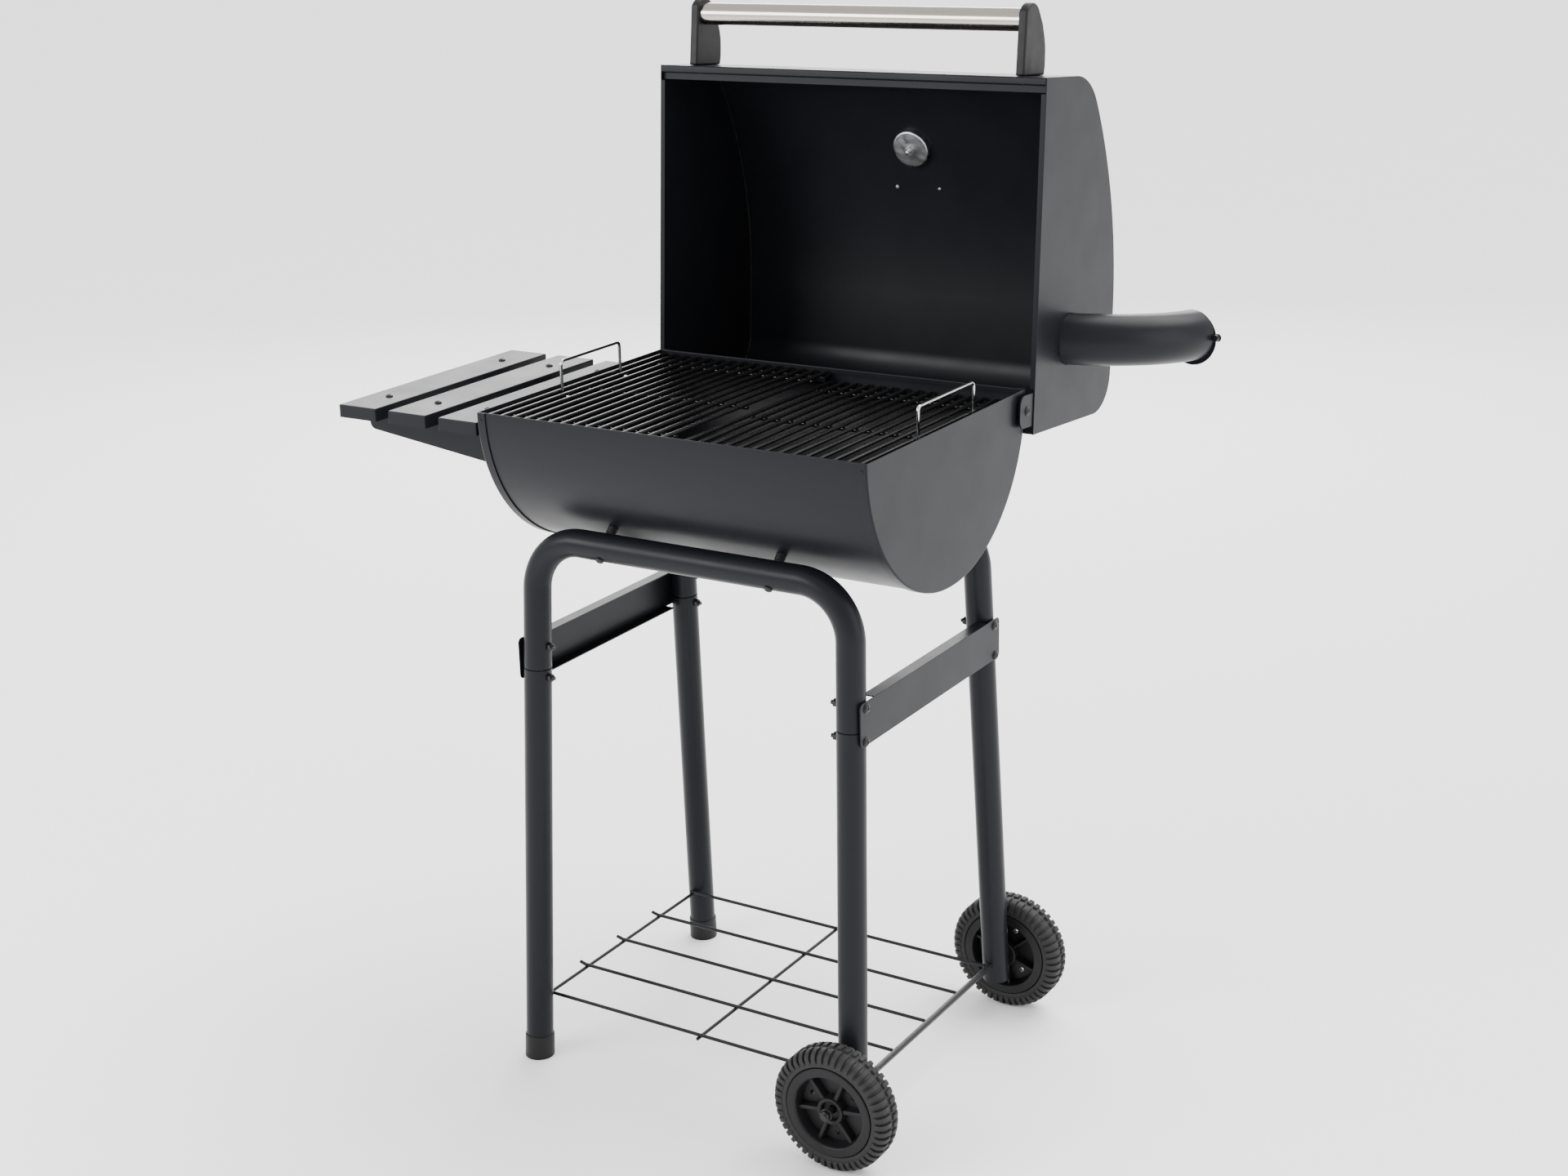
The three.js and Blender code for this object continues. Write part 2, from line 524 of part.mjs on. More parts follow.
// Chimney axis: leaves the right end of the lid and bends towards the lid's top.
function chimneyPath(reach = 0) {
  const start = lidToWorld([CHIMNEY_FROM_REAR_EDGE, CHIMNEY_FROM_OPENING]);
  const at = (along, out) =>
    new THREE.Vector3(LID_HALF + along, start[0] + out * LID_OUT[0], start[1] + out * LID_OUT[1]);
  const radius = CHIMNEY_BEND_RADIUS;
  const bend = between(CHIMNEY_STEPS + 1, (i) => {
    const angle = (CHIMNEY_BEND_START + ((CHIMNEY_BEND_END - CHIMNEY_BEND_START) * i) / CHIMNEY_STEPS) * RAD;
    const along = radius * (Math.sin(angle) - Math.sin(CHIMNEY_BEND_START * RAD));
    const out = radius * (Math.cos(CHIMNEY_BEND_START * RAD) - Math.cos(angle));
    return at(along, out);
  });
  const back = 6 + reach;
  const first = at(-back * Math.cos(CHIMNEY_BEND_START * RAD), -back * Math.sin(CHIMNEY_BEND_START * RAD));
  return [first, ...bend];
}

function lidEnd(side) {
  const sheet = lidPrism(lidOutline(0), LID_HALF - SHEET, LID_HALF);
  // The lip runs between the hinge ear and the shell's front lip.
  const [a, b] = [HINGE_FROM_REAR_EDGE + 24, LID_WIDTH - 2.2 * LID_LIP - 1];
  const lip = lidPrism([[a, 0], [b, 0], [b, SHEET], [a, SHEET]], LID_HALF - SHEET - LID_END_LIP, LID_HALF - SHEET / 2);
  const plain = join(sheet, lip);
  if (side < 0) return plain.mirror([1, 0, 0]);
  return cut(plain, swept(chimneyPath(8), CHIMNEY_RADIUS + GAP + 0.2, ROUND_SIDES));
}

function hingeEar(side) {
  const [low, high] = [HINGE_FROM_REAR_EDGE - HINGE_EAR_HALF, HINGE_FROM_REAR_EDGE + HINGE_EAR_HALF];
  const tip = 1 - HINGE_BELOW_EDGE - HINGE_EAR_HALF;
  const corner = HINGE_EAR_CORNER;
  const outline = [
    [low, HINGE_EAR_TOP], ...arc(corner, 180, 270, 4, [low + corner, tip + corner]),
    ...arc(corner, 270, 360, 4, [high - corner, tip + corner]), [high, HINGE_EAR_TOP],
  ];
  const plate = lidPrism(outline, HINGE_EAR_X, HINGE_EAR_X + HINGE_EAR_THICK);
  const hole = disc(HINGE_BOLT_RADIUS + 0.1, -20, 20, [HINGE_EAR_X, ...HINGE], [1, 0, 0], 12);
  const right = cut(plate, hole);
  return side > 0 ? right : right.mirror([1, 0, 0]);
}

// Bolt with its collar and nut, fixed to the bowl. The ear turns on the shank.
function hingeBolt(side) {
  const r = HINGE_BOLT_RADIUS;
  const inner = BOWL_HALF - SHEET - GAP;
  const head = HINGE_EAR_X + HINGE_EAR_THICK + GAP;
  const profile = [
    [0, inner - NUT_HEIGHT], [NUT_RADIUS, inner - NUT_HEIGHT], [NUT_RADIUS, inner], [r, inner],
    [r, BOWL_HALF + GAP], [HINGE_COLLAR_RADIUS, BOWL_HALF + GAP],
    [HINGE_COLLAR_RADIUS, HINGE_EAR_X - GAP], [r, HINGE_EAR_X - GAP],
    [r, head], [HEAD_RADIUS, head], [HEAD_RADIUS - 1, head + HEAD_HEIGHT - 0.6], [0, head + HEAD_HEIGHT],
  ];
  return turned(profile, [0, ...HINGE], [1, 0, 0], 12).scale([side, 1, 1]);
}

piece('lid_shell', lidShell(), 'black');
piece('lid_end_left', lidEnd(-1), 'black');
piece('lid_end_right', lidEnd(1), 'black');
for (const [side, word] of [[-1, 'left'], [1, 'right']]) {
  piece(`hinge_ear_${word}`, hingeEar(side), 'black');
  piece(`hinge_bolt_${word}`, hingeBolt(side), 'screw');
}

// Handle: a chromed tube between two rounded fins on the lid's front wall.
const handleAxis = lidToWorld([LID_WIDTH + HANDLE_OUT, HANDLE_UP]);
function handleBracket(side) {
  const base = LID_WIDTH + GAP;
  const outline = [
    [base, 12], [base + 4, 12],
    ...arc(HANDLE_NOSE_RADIUS, -60, 60, 6, [LID_WIDTH + HANDLE_OUT, HANDLE_UP]),
    [base + 58, 62], [base + 36, 69.5], [base + 14, 70], [base, 68],
  ];
  const x0 = HANDLE_INNER_X;
  const plain = lidPrism(outline, x0, x0 + HANDLE_BRACKET_THICK);
  return side > 0 ? plain : plain.mirror([1, 0, 0]);
}
piece('handle_bracket_left', handleBracket(-1), 'plastic');
piece('handle_bracket_right', handleBracket(1), 'plastic');
const handleEnds = [-1, 1].map((side) => new THREE.Vector3(side * (HANDLE_INNER_X - GAP), ...handleAxis));
piece('handle_tube', pipe(handleEnds, HANDLE_TUBE_RADIUS, HANDLE_TUBE_RADIUS - 1, ROUND_SIDES), 'chrome');

// Thermometer: a cup through the lid with a bezel and dial outside, and a red needle.
const THERMO_FLOOR = 1.6; // dial plane above the lid's outer surface
function thermoCase() {
  const [body, bezel] = [THERMO_BODY_RADIUS, THERMO_BEZEL_RADIUS];
  const profile = [
    [0, -19], [2.5, -19], [2.5, -14], [6, -14], [6, -9.5], [body, -9.5], [body, GAP], [bezel, GAP],
    [bezel, 9], [bezel - 2, 9], [bezel - 2, THERMO_FLOOR], [0, THERMO_FLOOR],
  ];
  return turned(profile, thermo.point, thermo.out, ROUND_SIDES);
}
const needleAlong = new THREE.Vector3(-0.5, ...LID_ALONG.map((value) => -0.86 * value)).normalize();
function thermoNeedle() {
  const out = new THREE.Vector3(...thermo.out);
  const base = new THREE.Vector3(...thermo.point);
  const boss = disc(3, THERMO_FLOOR + GAP, THERMO_FLOOR + 3, thermo.point, thermo.out, 10);
  const level = base.clone().addScaledVector(out, THERMO_FLOOR + 1.6);
  const along = needleAlong.clone().addScaledVector(out, -needleAlong.dot(out)).normalize();
  const pointer = swept([level.clone().addScaledVector(along, -8), level.clone().addScaledVector(along, 23)], 0.9, 4);
  return join(boss, pointer);
}
piece('thermometer_case', thermoCase(), 'zinc');
piece('thermometer_needle', thermoNeedle(), 'needle');

// Chimney with a lug for the damper's screw at the outer side of its outlet.
const outlet = (() => {
  const path = chimneyPath();
  const n = path.length;
  const along = new THREE.Vector3(
    Math.cos(CHIMNEY_BEND_END * RAD),
    ...LID_OUT.map((value) => value * Math.sin(CHIMNEY_BEND_END * RAD)),
  );
  const side = new THREE.Vector3(
    Math.sin(CHIMNEY_BEND_END * RAD),
    ...LID_OUT.map((value) => -value * Math.cos(CHIMNEY_BEND_END * RAD)),
  );
  return { centre: path[n - 1], along, side, up: new THREE.Vector3(0, ...LID_ALONG) };
})();
const pivot = outlet.centre.clone().addScaledVector(outlet.side, DAMPER_PIVOT);

function chimney() {
  const path = chimneyPath();
  const tip = path[path.length - 1].clone().addScaledVector(outlet.along, 4);
  const full = [...path, tip];
  const lugEnd = pivot.clone().addScaledVector(outlet.along, 4);
  const lugStart = lugEnd.clone().addScaledVector(outlet.along, -7);
  const wall = pivot.clone().addScaledVector(outlet.side, -6);
  const bridge = swept([
    wall.clone().addScaledVector(outlet.along, 0.5),
    pivot.clone().addScaledVector(outlet.along, 0.5),
  ], 3.2, 4);
  const lug = join(swept([lugStart, lugEnd], 4.4, 10), bridge);
  const bore = swept(extended(full, 1), CHIMNEY_RADIUS - 1, ROUND_SIDES);
  const screwHole = swept([
    lugStart.clone().addScaledVector(outlet.along, -5),
    lugEnd.clone().addScaledVector(outlet.along, 5),
  ], 2, 8);
  return cut(join(swept(full, CHIMNEY_RADIUS, ROUND_SIDES), lug), bore, screwHole);
}

// The damper turns on the screw. At rest it stands slightly open, swung towards the lid's rear edge.
const DAMPER_FACE = 4 + GAP; // above the end of the bend
function damper() {
  const turn = DAMPER_SWUNG * RAD;
  const back = outlet.side.clone().multiplyScalar(-Math.cos(turn)).addScaledVector(outlet.up, -Math.sin(turn));
  const centre = pivot.clone().addScaledVector(back, DAMPER_PIVOT);
  const direction = outlet.along.toArray();
  const plate = disc(DAMPER_RADIUS, DAMPER_FACE, DAMPER_FACE + SHEET, centre.toArray(), direction, ROUND_SIDES);
  const ear = disc(5, DAMPER_FACE, DAMPER_FACE + SHEET, pivot.toArray(), direction, 12);
  const hole = disc(2.1, 0, 20, pivot.toArray(), direction, 8);
  return cut(join(plate, ear), hole);
}
const damperScrewProfile = [
  [0, -4], [1.8, -4], [1.8, DAMPER_FACE + SHEET + GAP], [3.8, DAMPER_FACE + SHEET + GAP], [3.2, 8.4], [0, 8.8],
];
piece('chimney_pipe', chimney(), 'black');
piece('damper_plate', damper(), 'black');
piece('damper_screw', turned(damperScrewProfile, pivot.toArray(), outlet.along.toArray(), 10), 'screw');

// ---------- stand ----------
// Axis of a leg at a height. Front legs have side -1 in Y, left legs -1 in X.
function legAt(sideX, sideY, z) {
  const drop = FRAME_TOP_Z - z;
  return new THREE.Vector3(sideX * (FRAME_TOP_X + SPLAY_X * drop), sideY * (FRAME_TOP_Y + SPLAY_Y * drop), z);
}
function boltTool(sideX, sideY, z, radius) {
  const centre = legAt(sideX, sideY, z);
  return disc(radius, -40, 40, centre.toArray(), [1, 0, 0], 10);
}

function uFrame(sideY) {
  const corners = [legAt(-1, sideY, SEAM_Z + GAP), legAt(-1, sideY, FRAME_TOP_Z),
    legAt(1, sideY, FRAME_TOP_Z), legAt(1, sideY, SEAM_Z + GAP)];
  const path = rounded(corners.map((p) => p.toArray()), FRAME_BEND, 5);
  const tube = pipe(path, TUBE_RADIUS, TUBE_RADIUS - TUBE_WALL, TUBE_SIDES);
  const holes = [-1, 1].flatMap((sideX) => [
    boltTool(sideX, sideY, FRAME_BOLT_Z[1], FRAME_BOLT_RADIUS + GAP), bowlBoltHole(sideX, sideY),
  ]);
  return cut(tube, ...holes);
}

// Level of the shelf's cross wires, which bite a little into the long wires above them, as a weld does.
const SHELF_CROSS_Z = SHELF_WIRE_Z - 2 * SHELF_WIRE_RADIUS + 0.9;

// Lower leg with a spigot that slides up inside the U frame.
function leg(sideX, sideY, bottom) {
  const foot = legAt(sideX, sideY, bottom);
  const seam = legAt(sideX, sideY, SEAM_Z);
  const along = seam.clone().sub(foot);
  const length = along.length();
  const [outer, inner] = [TUBE_RADIUS, TUBE_RADIUS - TUBE_WALL];
  const neckOuter = inner * Math.cos(Math.PI / TUBE_SIDES) - GAP; // clear of the U frame's facets at any turn
  const neckInner = neckOuter - TUBE_WALL;
  const top = length + SPIGOT_LENGTH;
  const profile = [
    [inner, 0], [outer, 0], [outer, length], [neckOuter, length], [neckOuter, top],
    [neckInner, top], [neckInner, length - 3], [inner, length - 6], [inner, 0],
  ];
  const tube = turned(profile, foot.toArray(), along.toArray(), TUBE_SIDES);
  const holes = FRAME_BOLT_Z.map((z) => boltTool(sideX, sideY, z, FRAME_BOLT_RADIUS + GAP));
  if (sideX < 0) {
    const ends = [sideY * FRAME_TOP_Y, foot.y];
    const wire = ends.map((y) => [SHELF_LEFT_X, y, SHELF_CROSS_Z]);
    return cut(tube, ...holes, swept(wire, SHELF_WIRE_RADIUS + GAP, 8));
  }
  const centre = [AXLE_X, sideY * WHEEL_LEG_Y, WHEEL_RADIUS];
  const axle = disc(AXLE_RADIUS + GAP, -30, 30, centre, [0, 1, 0], 12);
  return cut(tube, ...holes, axle);
}

// Plastic cap around the bottom of a left leg, trimmed flat where it stands on the ground.
const LEG_BOTTOM = 4;
function footCap(sideY) {
  const ground = legAt(-1, sideY, 0);
  const along = legAt(-1, sideY, 100).sub(ground);
  const wall = TUBE_RADIUS + GAP;
  const profile = [
    [0, -4], [FOOT_RADIUS, -4], [FOOT_RADIUS, FOOT_HEIGHT - 2], [FOOT_RADIUS - 0.6, FOOT_HEIGHT],
    [wall, FOOT_HEIGHT], [wall, 2.5], [0, 2.5],
  ];
  // Twice the tube's facets, so that the cap's bore stays clear of the tube's corners.
  const cap = turned(profile, ground.toArray(), along.toArray(), 2 * TUBE_SIDES);
  return cut(cap, box(ground.x - 40, ground.x + 40, ground.y - 40, ground.y + 40, -20, 0));
}

const PLATE_INNER = legAt(1, 1, SIDE_PLATE_Z[0]).x + TUBE_RADIUS + GAP;
function sidePlate(sideX) {
  const [low, high] = SIDE_PLATE_Z;
  const [x0, x1] = [PLATE_INNER, PLATE_INNER + PLATE];
  const flangeHalf = legAt(1, 1, high).y - TUBE_RADIUS - 3;
  const web = box(x0, x1, -SIDE_PLATE_HALF, SIDE_PLATE_HALF, low, high);
  const inner = x0 - SIDE_PLATE_FLANGE;
  const flanges = [[high - PLATE, high], [low, low + PLATE]].map(([z0, z1]) =>
    box(inner, x1 - 0.2, -flangeHalf, flangeHalf, z0, z1));
  const holes = [-1, 1].flatMap((sideY) =>
    FRAME_BOLT_Z.map((z) => boltTool(1, sideY, z, FRAME_BOLT_RADIUS + GAP)));
  const right = cut(join(web, ...flanges), ...holes);
  return sideX > 0 ? right : right.mirror([1, 0, 0]);
}

// Bolt through a side plate and a leg, with its nut tight against the far side of the leg.
function frameBolt(sideX, sideY, z) {
  const axis = legAt(1, sideY, z);
  const r = FRAME_BOLT_RADIUS;
  const head = PLATE_INNER + PLATE + GAP;
  const nut = axis.x - TUBE_RADIUS - GAP - 0.2;
  const profile = [
    [0, nut - NUT_HEIGHT - THREAD_SHOWN], [r, nut - NUT_HEIGHT - THREAD_SHOWN], [r, nut - NUT_HEIGHT],
    [NUT_RADIUS, nut - NUT_HEIGHT], [NUT_RADIUS, nut], [r, nut],
    [r, head], [HEAD_RADIUS, head], [HEAD_RADIUS - 1, head + HEAD_HEIGHT - 0.6], [0, head + HEAD_HEIGHT],
  ];
  return turned(profile, [0, axis.y, z], [1, 0, 0], 8).scale([sideX, 1, 1]);
}

for (const [sideY, end] of [[-1, 'front'], [1, 'rear']]) {
  piece(`u_frame_${end}`, uFrame(sideY), 'black');
  piece(`leg_${end}_left`, leg(-1, sideY, LEG_BOTTOM), 'black');
  piece(`leg_${end}_right`, leg(1, sideY, WHEEL_LEG_BOTTOM), 'black');
  piece(`foot_cap_${end}`, footCap(sideY), 'plastic');
  for (const [sideX, word] of [[-1, 'left'], [1, 'right']]) {
    piece(`frame_bolt_${end}_${word}_lower`, frameBolt(sideX, sideY, FRAME_BOLT_Z[0]), 'screw');
    piece(`frame_bolt_${end}_${word}_upper`, frameBolt(sideX, sideY, FRAME_BOLT_Z[1]), 'screw');
  }
}
piece('side_plate_left', sidePlate(-1), 'black');
piece('side_plate_right', sidePlate(1), 'black');

// ---------- wheels, axle and wire shelf ----------
function wheelHub(sideY) {
  const half = WHEEL_WIDTH / 2;
  const bore = AXLE_RADIUS + GAP;
  const profile = [
    [bore, -half], [HUB_BOSS_RADIUS, -half], [HUB_BOSS_RADIUS, -3], [HUB_DISH_RADIUS, -3],
    [HUB_DISH_RADIUS + 2, -half + 1], [HUB_RIM_RADIUS, -half + 1], [HUB_RIM_RADIUS, half - 1],
    [HUB_DISH_RADIUS + 2, half - 1], [HUB_DISH_RADIUS, 3], [HUB_BOSS_RADIUS, 3], [HUB_BOSS_RADIUS, half],
    [bore, half], [bore, -half],
  ];
  const centre = [AXLE_X, sideY * WHEEL_Y, WHEEL_RADIUS];
  const body = turned(profile, centre, [0, 1, 0], WHEEL_SIDES);
  const ribs = between(6, (i) => {
    const rib = box(HUB_BOSS_RADIUS - 2, HUB_DISH_RADIUS + 3, -half + 5, half - 5, -2.5, 2.5);
    return rib.rotate([0, 30 + 60 * i, 0]).translate(centre);
  });
  return join(body, ...ribs);
}
function tyre(sideY) {
  const half = WHEEL_WIDTH / 2;
  const inner = HUB_RIM_RADIUS + GAP;
  const profile = [
    [inner, -half + 1.5], [inner + 4, -half], [WHEEL_RADIUS - 6, -half], [WHEEL_RADIUS - 1.5, -half + 5],
    [WHEEL_RADIUS, -half + 12], [WHEEL_RADIUS, half - 12], [WHEEL_RADIUS - 1.5, half - 5],
    [WHEEL_RADIUS - 6, half], [inner + 4, half], [inner, half - 1.5], [inner, -half + 1.5],
  ];
  return turned(profile, [AXLE_X, sideY * WHEEL_Y, WHEEL_RADIUS], [0, 1, 0], WHEEL_SIDES);
}
for (const [sideY, end] of [[-1, 'front'], [1, 'rear']]) {
  piece(`wheel_hub_${end}`, wheelHub(sideY), 'plastic');
  piece(`tyre_${end}`, tyre(sideY), 'tyre');
}

// Rod through the right legs and both wheels, with a pressed-on collar at each end.
function axle() {
  const collar = WHEEL_Y + WHEEL_WIDTH / 2 + GAP;
  const r = AXLE_RADIUS;
  const half = [[AXLE_COLLAR_RADIUS, collar], [AXLE_COLLAR_RADIUS, collar + 5.7], [r, collar + 5.7], [r, collar + 8.2]];
  const upper = [[r, collar], ...half, [0, collar + 8.2]];
  const lower = upper.map(([radius, along]) => [radius, -along]).reverse();
  return turned([...lower, ...upper], [AXLE_X, 0, WHEEL_RADIUS], [0, 1, 0], 12);
}
piece('axle', axle(), 'screw');

// Long wires lie on two cross wires. Their right ends meet the axle's side. The left cross wire's
// ends sit in holes in the left legs.
function wireShelf() {
  const r = SHELF_WIRE_RADIUS;
  const right = AXLE_X - AXLE_RADIUS - GAP - 0.2;
  const long = between(SHELF_WIRES, (i) => {
    const y = SHELF_HALF * ((2 * i) / (SHELF_WIRES - 1) - 1);
    const outermost = i === 0 || i === SHELF_WIRES - 1;
    if (outermost) return swept([[SHELF_LEFT_X - r, y, SHELF_WIRE_Z], [right, y, SHELF_WIRE_Z]], r, 6);
    const tip = [SHELF_LEFT_X - SHELF_OVERHANG, y, SHELF_WIRE_Z + SHELF_TIP_RISE];
    return swept([tip, [SHELF_LEFT_X - 1, y, SHELF_WIRE_Z], [right, y, SHELF_WIRE_Z]], r, 6);
  });
  const inLeg = legAt(1, 1, SHELF_CROSS_Z).y - TUBE_RADIUS + 5;
  const cross = [[SHELF_LEFT_X, inLeg], [0, SHELF_HALF + 5]].map(([x, reach]) =>
    swept([[x, -reach, SHELF_CROSS_Z], [x, reach, SHELF_CROSS_Z]], r, 6));
  return join(...long, ...cross);
}
piece('wire_shelf', wireShelf(), 'black');

// ---------- side shelf ----------
function slat(i) {
  const x0 = SLAT_FIRST_X + SLAT_PITCH * i;
  const x1 = x0 + SLAT_WIDTH;
  const [y0, y1] = [SLAT_CENTRE_Y - SLAT_LENGTH / 2, SLAT_CENTRE_Y + SLAT_LENGTH / 2];
  const low = SLAT_TOP - SLAT_HEIGHT;
  const full = box(x0, x1, y0, y1, low, SLAT_TOP);
  return cut(full, box(x0 + SHEET, x1 - SHEET, y0 + SHEET, y1 - SHEET, low - 1, SLAT_TOP - SHEET));
}
// Tapered bracket under the slats, its end flange flat against the bowl's end plate.
function shelfBracket(y, inward) {
  const top = SLAT_TOP - SLAT_HEIGHT - GAP;
  const right = -BOWL_HALF - GAP;
  const left = SLAT_FIRST_X + 2;
  const tip = top - BRACKET_TIP_DEPTH;
  const root = top - BRACKET_ROOT_DEPTH;
  const outline = [[left, top], [left, tip + 6], [left + 6, tip], [right, root], [right, top]];
  const web = prism(outline, 'y', y - PLATE / 2, y + PLATE / 2);
  const [a, b] = inward > 0 ? [y, y + BRACKET_FLANGE] : [y - BRACKET_FLANGE, y];
  const shelf = box(left, right, a, b, top - PLATE, top);
  const flange = box(right - PLATE, right, a, b, root, top);
  return join(web, shelf, flange);
}
between(SLATS, (i) => piece(`shelf_slat_${i + 1}`, slat(i), 'black'));
piece('shelf_bracket_front', shelfBracket(BRACKET_Y[0], 1), 'black');
piece('shelf_bracket_rear', shelfBracket(BRACKET_Y[1], -1), 'black');

const overall = new THREE.Box3().setFromObject(group);
const middle = overall.getCenter(new THREE.Vector3());
group.position.set(-middle.x, -middle.y, -overall.min.z);

export default group;
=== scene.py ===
"""Half-barrel charcoal grill: fine surface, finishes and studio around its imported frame. All in metres."""

import json
import math

import bmesh
import bpy
from bpy.props import FloatProperty, FloatVectorProperty, IntProperty, PointerProperty
from mathutils import Matrix, Vector


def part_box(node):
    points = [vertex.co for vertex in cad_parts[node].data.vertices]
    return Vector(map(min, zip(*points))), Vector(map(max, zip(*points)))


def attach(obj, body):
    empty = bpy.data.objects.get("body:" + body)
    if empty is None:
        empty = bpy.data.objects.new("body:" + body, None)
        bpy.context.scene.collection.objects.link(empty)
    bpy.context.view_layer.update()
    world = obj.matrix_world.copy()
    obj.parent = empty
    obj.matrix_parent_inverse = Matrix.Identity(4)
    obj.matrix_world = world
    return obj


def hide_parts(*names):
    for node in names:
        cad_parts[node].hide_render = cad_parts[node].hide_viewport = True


bl_info = {
    "name": "Barrel Charcoal Grill",
    "version": (1, 0, 0),
    "blender": (4, 5, 0),
    "location": "View3D > Sidebar > Grill",
    "description": "Models a half-barrel charcoal grill piece by piece around its packed frame",
    "category": "Object",
}

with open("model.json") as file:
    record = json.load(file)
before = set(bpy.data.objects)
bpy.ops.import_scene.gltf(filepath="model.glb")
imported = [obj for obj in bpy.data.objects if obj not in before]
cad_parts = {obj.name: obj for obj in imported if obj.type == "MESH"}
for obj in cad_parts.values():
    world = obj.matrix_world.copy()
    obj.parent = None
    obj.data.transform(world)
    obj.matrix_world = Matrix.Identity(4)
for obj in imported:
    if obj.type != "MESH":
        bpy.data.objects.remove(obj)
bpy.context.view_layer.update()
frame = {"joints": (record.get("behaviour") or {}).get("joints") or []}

MM = 0.001
GAP = 0.2 * MM  # left between pieces of different nodes that face each other
ORIGIN = (0, 0, 0)
UP = (0, 0, 1)
HANDS = (("left", -1), ("right", 1))
ENDS = (("front", -1), ("rear", 1))
BLUNT = math.radians(38)  # sharper edges than this are creases, softer ones are curves

# ---------- places read from the frame ----------
JOINTS = {joint["name"]: joint for joint in frame["joints"]}
BOWL_LOW, BOWL_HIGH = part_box("bowl_shell")
MIDDLE = Vector(((BOWL_LOW.x + BOWL_HIGH.x) / 2, (BOWL_LOW.y + BOWL_HIGH.y) / 2, 0))
RIM = BOWL_HIGH.z
BOWL_RADIUS = (BOWL_HIGH.y - BOWL_LOW.y) / 2
END_LOW, END_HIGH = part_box("bowl_end_right")
BOWL_HALF = END_HIGH.x - MIDDLE.x
LID_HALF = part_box("lid_end_right")[1].x - MIDDLE.x
HINGE = Vector(JOINTS["lid_hinge"]["pos_m"])
HINGE.x = MIDDLE.x

# ---------- lid profile: u from the rear edge to the front edge, v away from the opening ----------
LID_TILT = math.radians(4.24)
LID_WIDTH = 419 * MM
LID_DEPTH = 221 * MM
REAR_CORNER = 48 * MM
CROWN_START = 125 * MM
CROWN_RADIUS = 485 * MM
FRONT_CORNER = 70 * MM
HINGE_ALONG = 31 * MM
HINGE_UNDER = 15.3 * MM
LID_U = Vector((0, math.sin(LID_TILT), math.cos(LID_TILT)))
LID_V = Vector((0, math.cos(LID_TILT), -math.sin(LID_TILT)))
LID_REAR = HINGE - LID_U * HINGE_ALONG + LID_V * HINGE_UNDER


def lid_point(u, v, x=0.0):
    """A place on the lid, from the rear edge along the opening, out of it, and across."""
    return LID_REAR + LID_U * u + LID_V * v + Vector((x, 0, 0))


def crown_at(u):
    """The point and outward direction of the crown at a distance from the rear edge."""
    angle = math.acos((u - CROWN_START) / CROWN_RADIUS)
    v = LID_DEPTH - CROWN_RADIUS + CROWN_RADIUS * math.sin(angle)
    return lid_point(u, v), LID_U * math.cos(angle) + LID_V * math.sin(angle)


# ---------- colours ----------
def from_hex(code):
    """An sRGB hex colour as linear red, green and blue."""
    values = [int(code[i:i + 2], 16) / 255 for i in (0, 2, 4)]
    return tuple(c / 12.92 if c <= 0.04045 else ((c + 0.055) / 1.055) ** 2.4 for c in values)


class GrillSizes(bpy.types.PropertyGroup):
    """Sizes of the finished surface that the frame doesn't settle."""

    sheet: FloatProperty(name="Sheet", description="Thickness of the rolled steel sheet",
                         default=1.2 * MM, min=0.0005, unit="LENGTH")
    hem: FloatProperty(name="Rim hem", description="Depth of the folded edge along the bowl's rims",
                       default=7 * MM, min=0.002, unit="LENGTH")
    bar_radius: FloatProperty(name="Grate bar", description="Radius of a cooking grate bar",
                              default=2.5 * MM, min=0.001, unit="LENGTH")
    bail_radius: FloatProperty(name="Bail wire", description="Radius of the grate handles' wire",
                               default=2 * MM, min=0.001, unit="LENGTH")
    tube_radius: FloatProperty(name="Stand tube", description="Radius of the stand's tube",
                               default=17 * MM, min=0.005, unit="LENGTH")
    frame_bend: FloatProperty(name="Frame bend", description="Bend radius of the stand's frames",
                              default=65 * MM, min=0.02, unit="LENGTH")
    lugs: IntProperty(name="Tyre lugs", description="Tread lugs around one shoulder of a tyre",
                      default=48, min=12)


class GrillColours(bpy.types.PropertyGroup):
    """Base colours of the finishes."""

    powder: FloatVectorProperty(name="Powder coat", description="Satin black powder coat", size=3,
                                subtype="COLOR", default=from_hex("15161a"))
    enamel: FloatVectorProperty(name="Enamel", description="Glossy black enamel of the grates", size=3,
                                subtype="COLOR", default=from_hex("121213"))
    plastic: FloatVectorProperty(name="Moulded plastic", description="Black plastic of hubs and brackets",
                                 size=3, subtype="COLOR", default=from_hex("131315"))
    floor: FloatVectorProperty(name="Floor", description="Studio floor", size=3, subtype="COLOR",
                               default=from_hex("fbfbfb"))


def sizes():
    return bpy.context.scene.grill_sizes


def colours():
    return bpy.context.scene.grill_colours


# ---------- materials ----------
def add_node(tree, kind, settings=None, links=None):
    """Adds a node. Settings are attributes or input values, links are input name to output socket."""
    node = tree.nodes.new(kind)
    for name, value in (settings or {}).items():
        if name in node.inputs:
            node.inputs[name].default_value = value
        else:
            setattr(node, name, value)
    for name, socket in (links or {}).items():
        tree.links.new(socket, node.inputs[name])
    return node


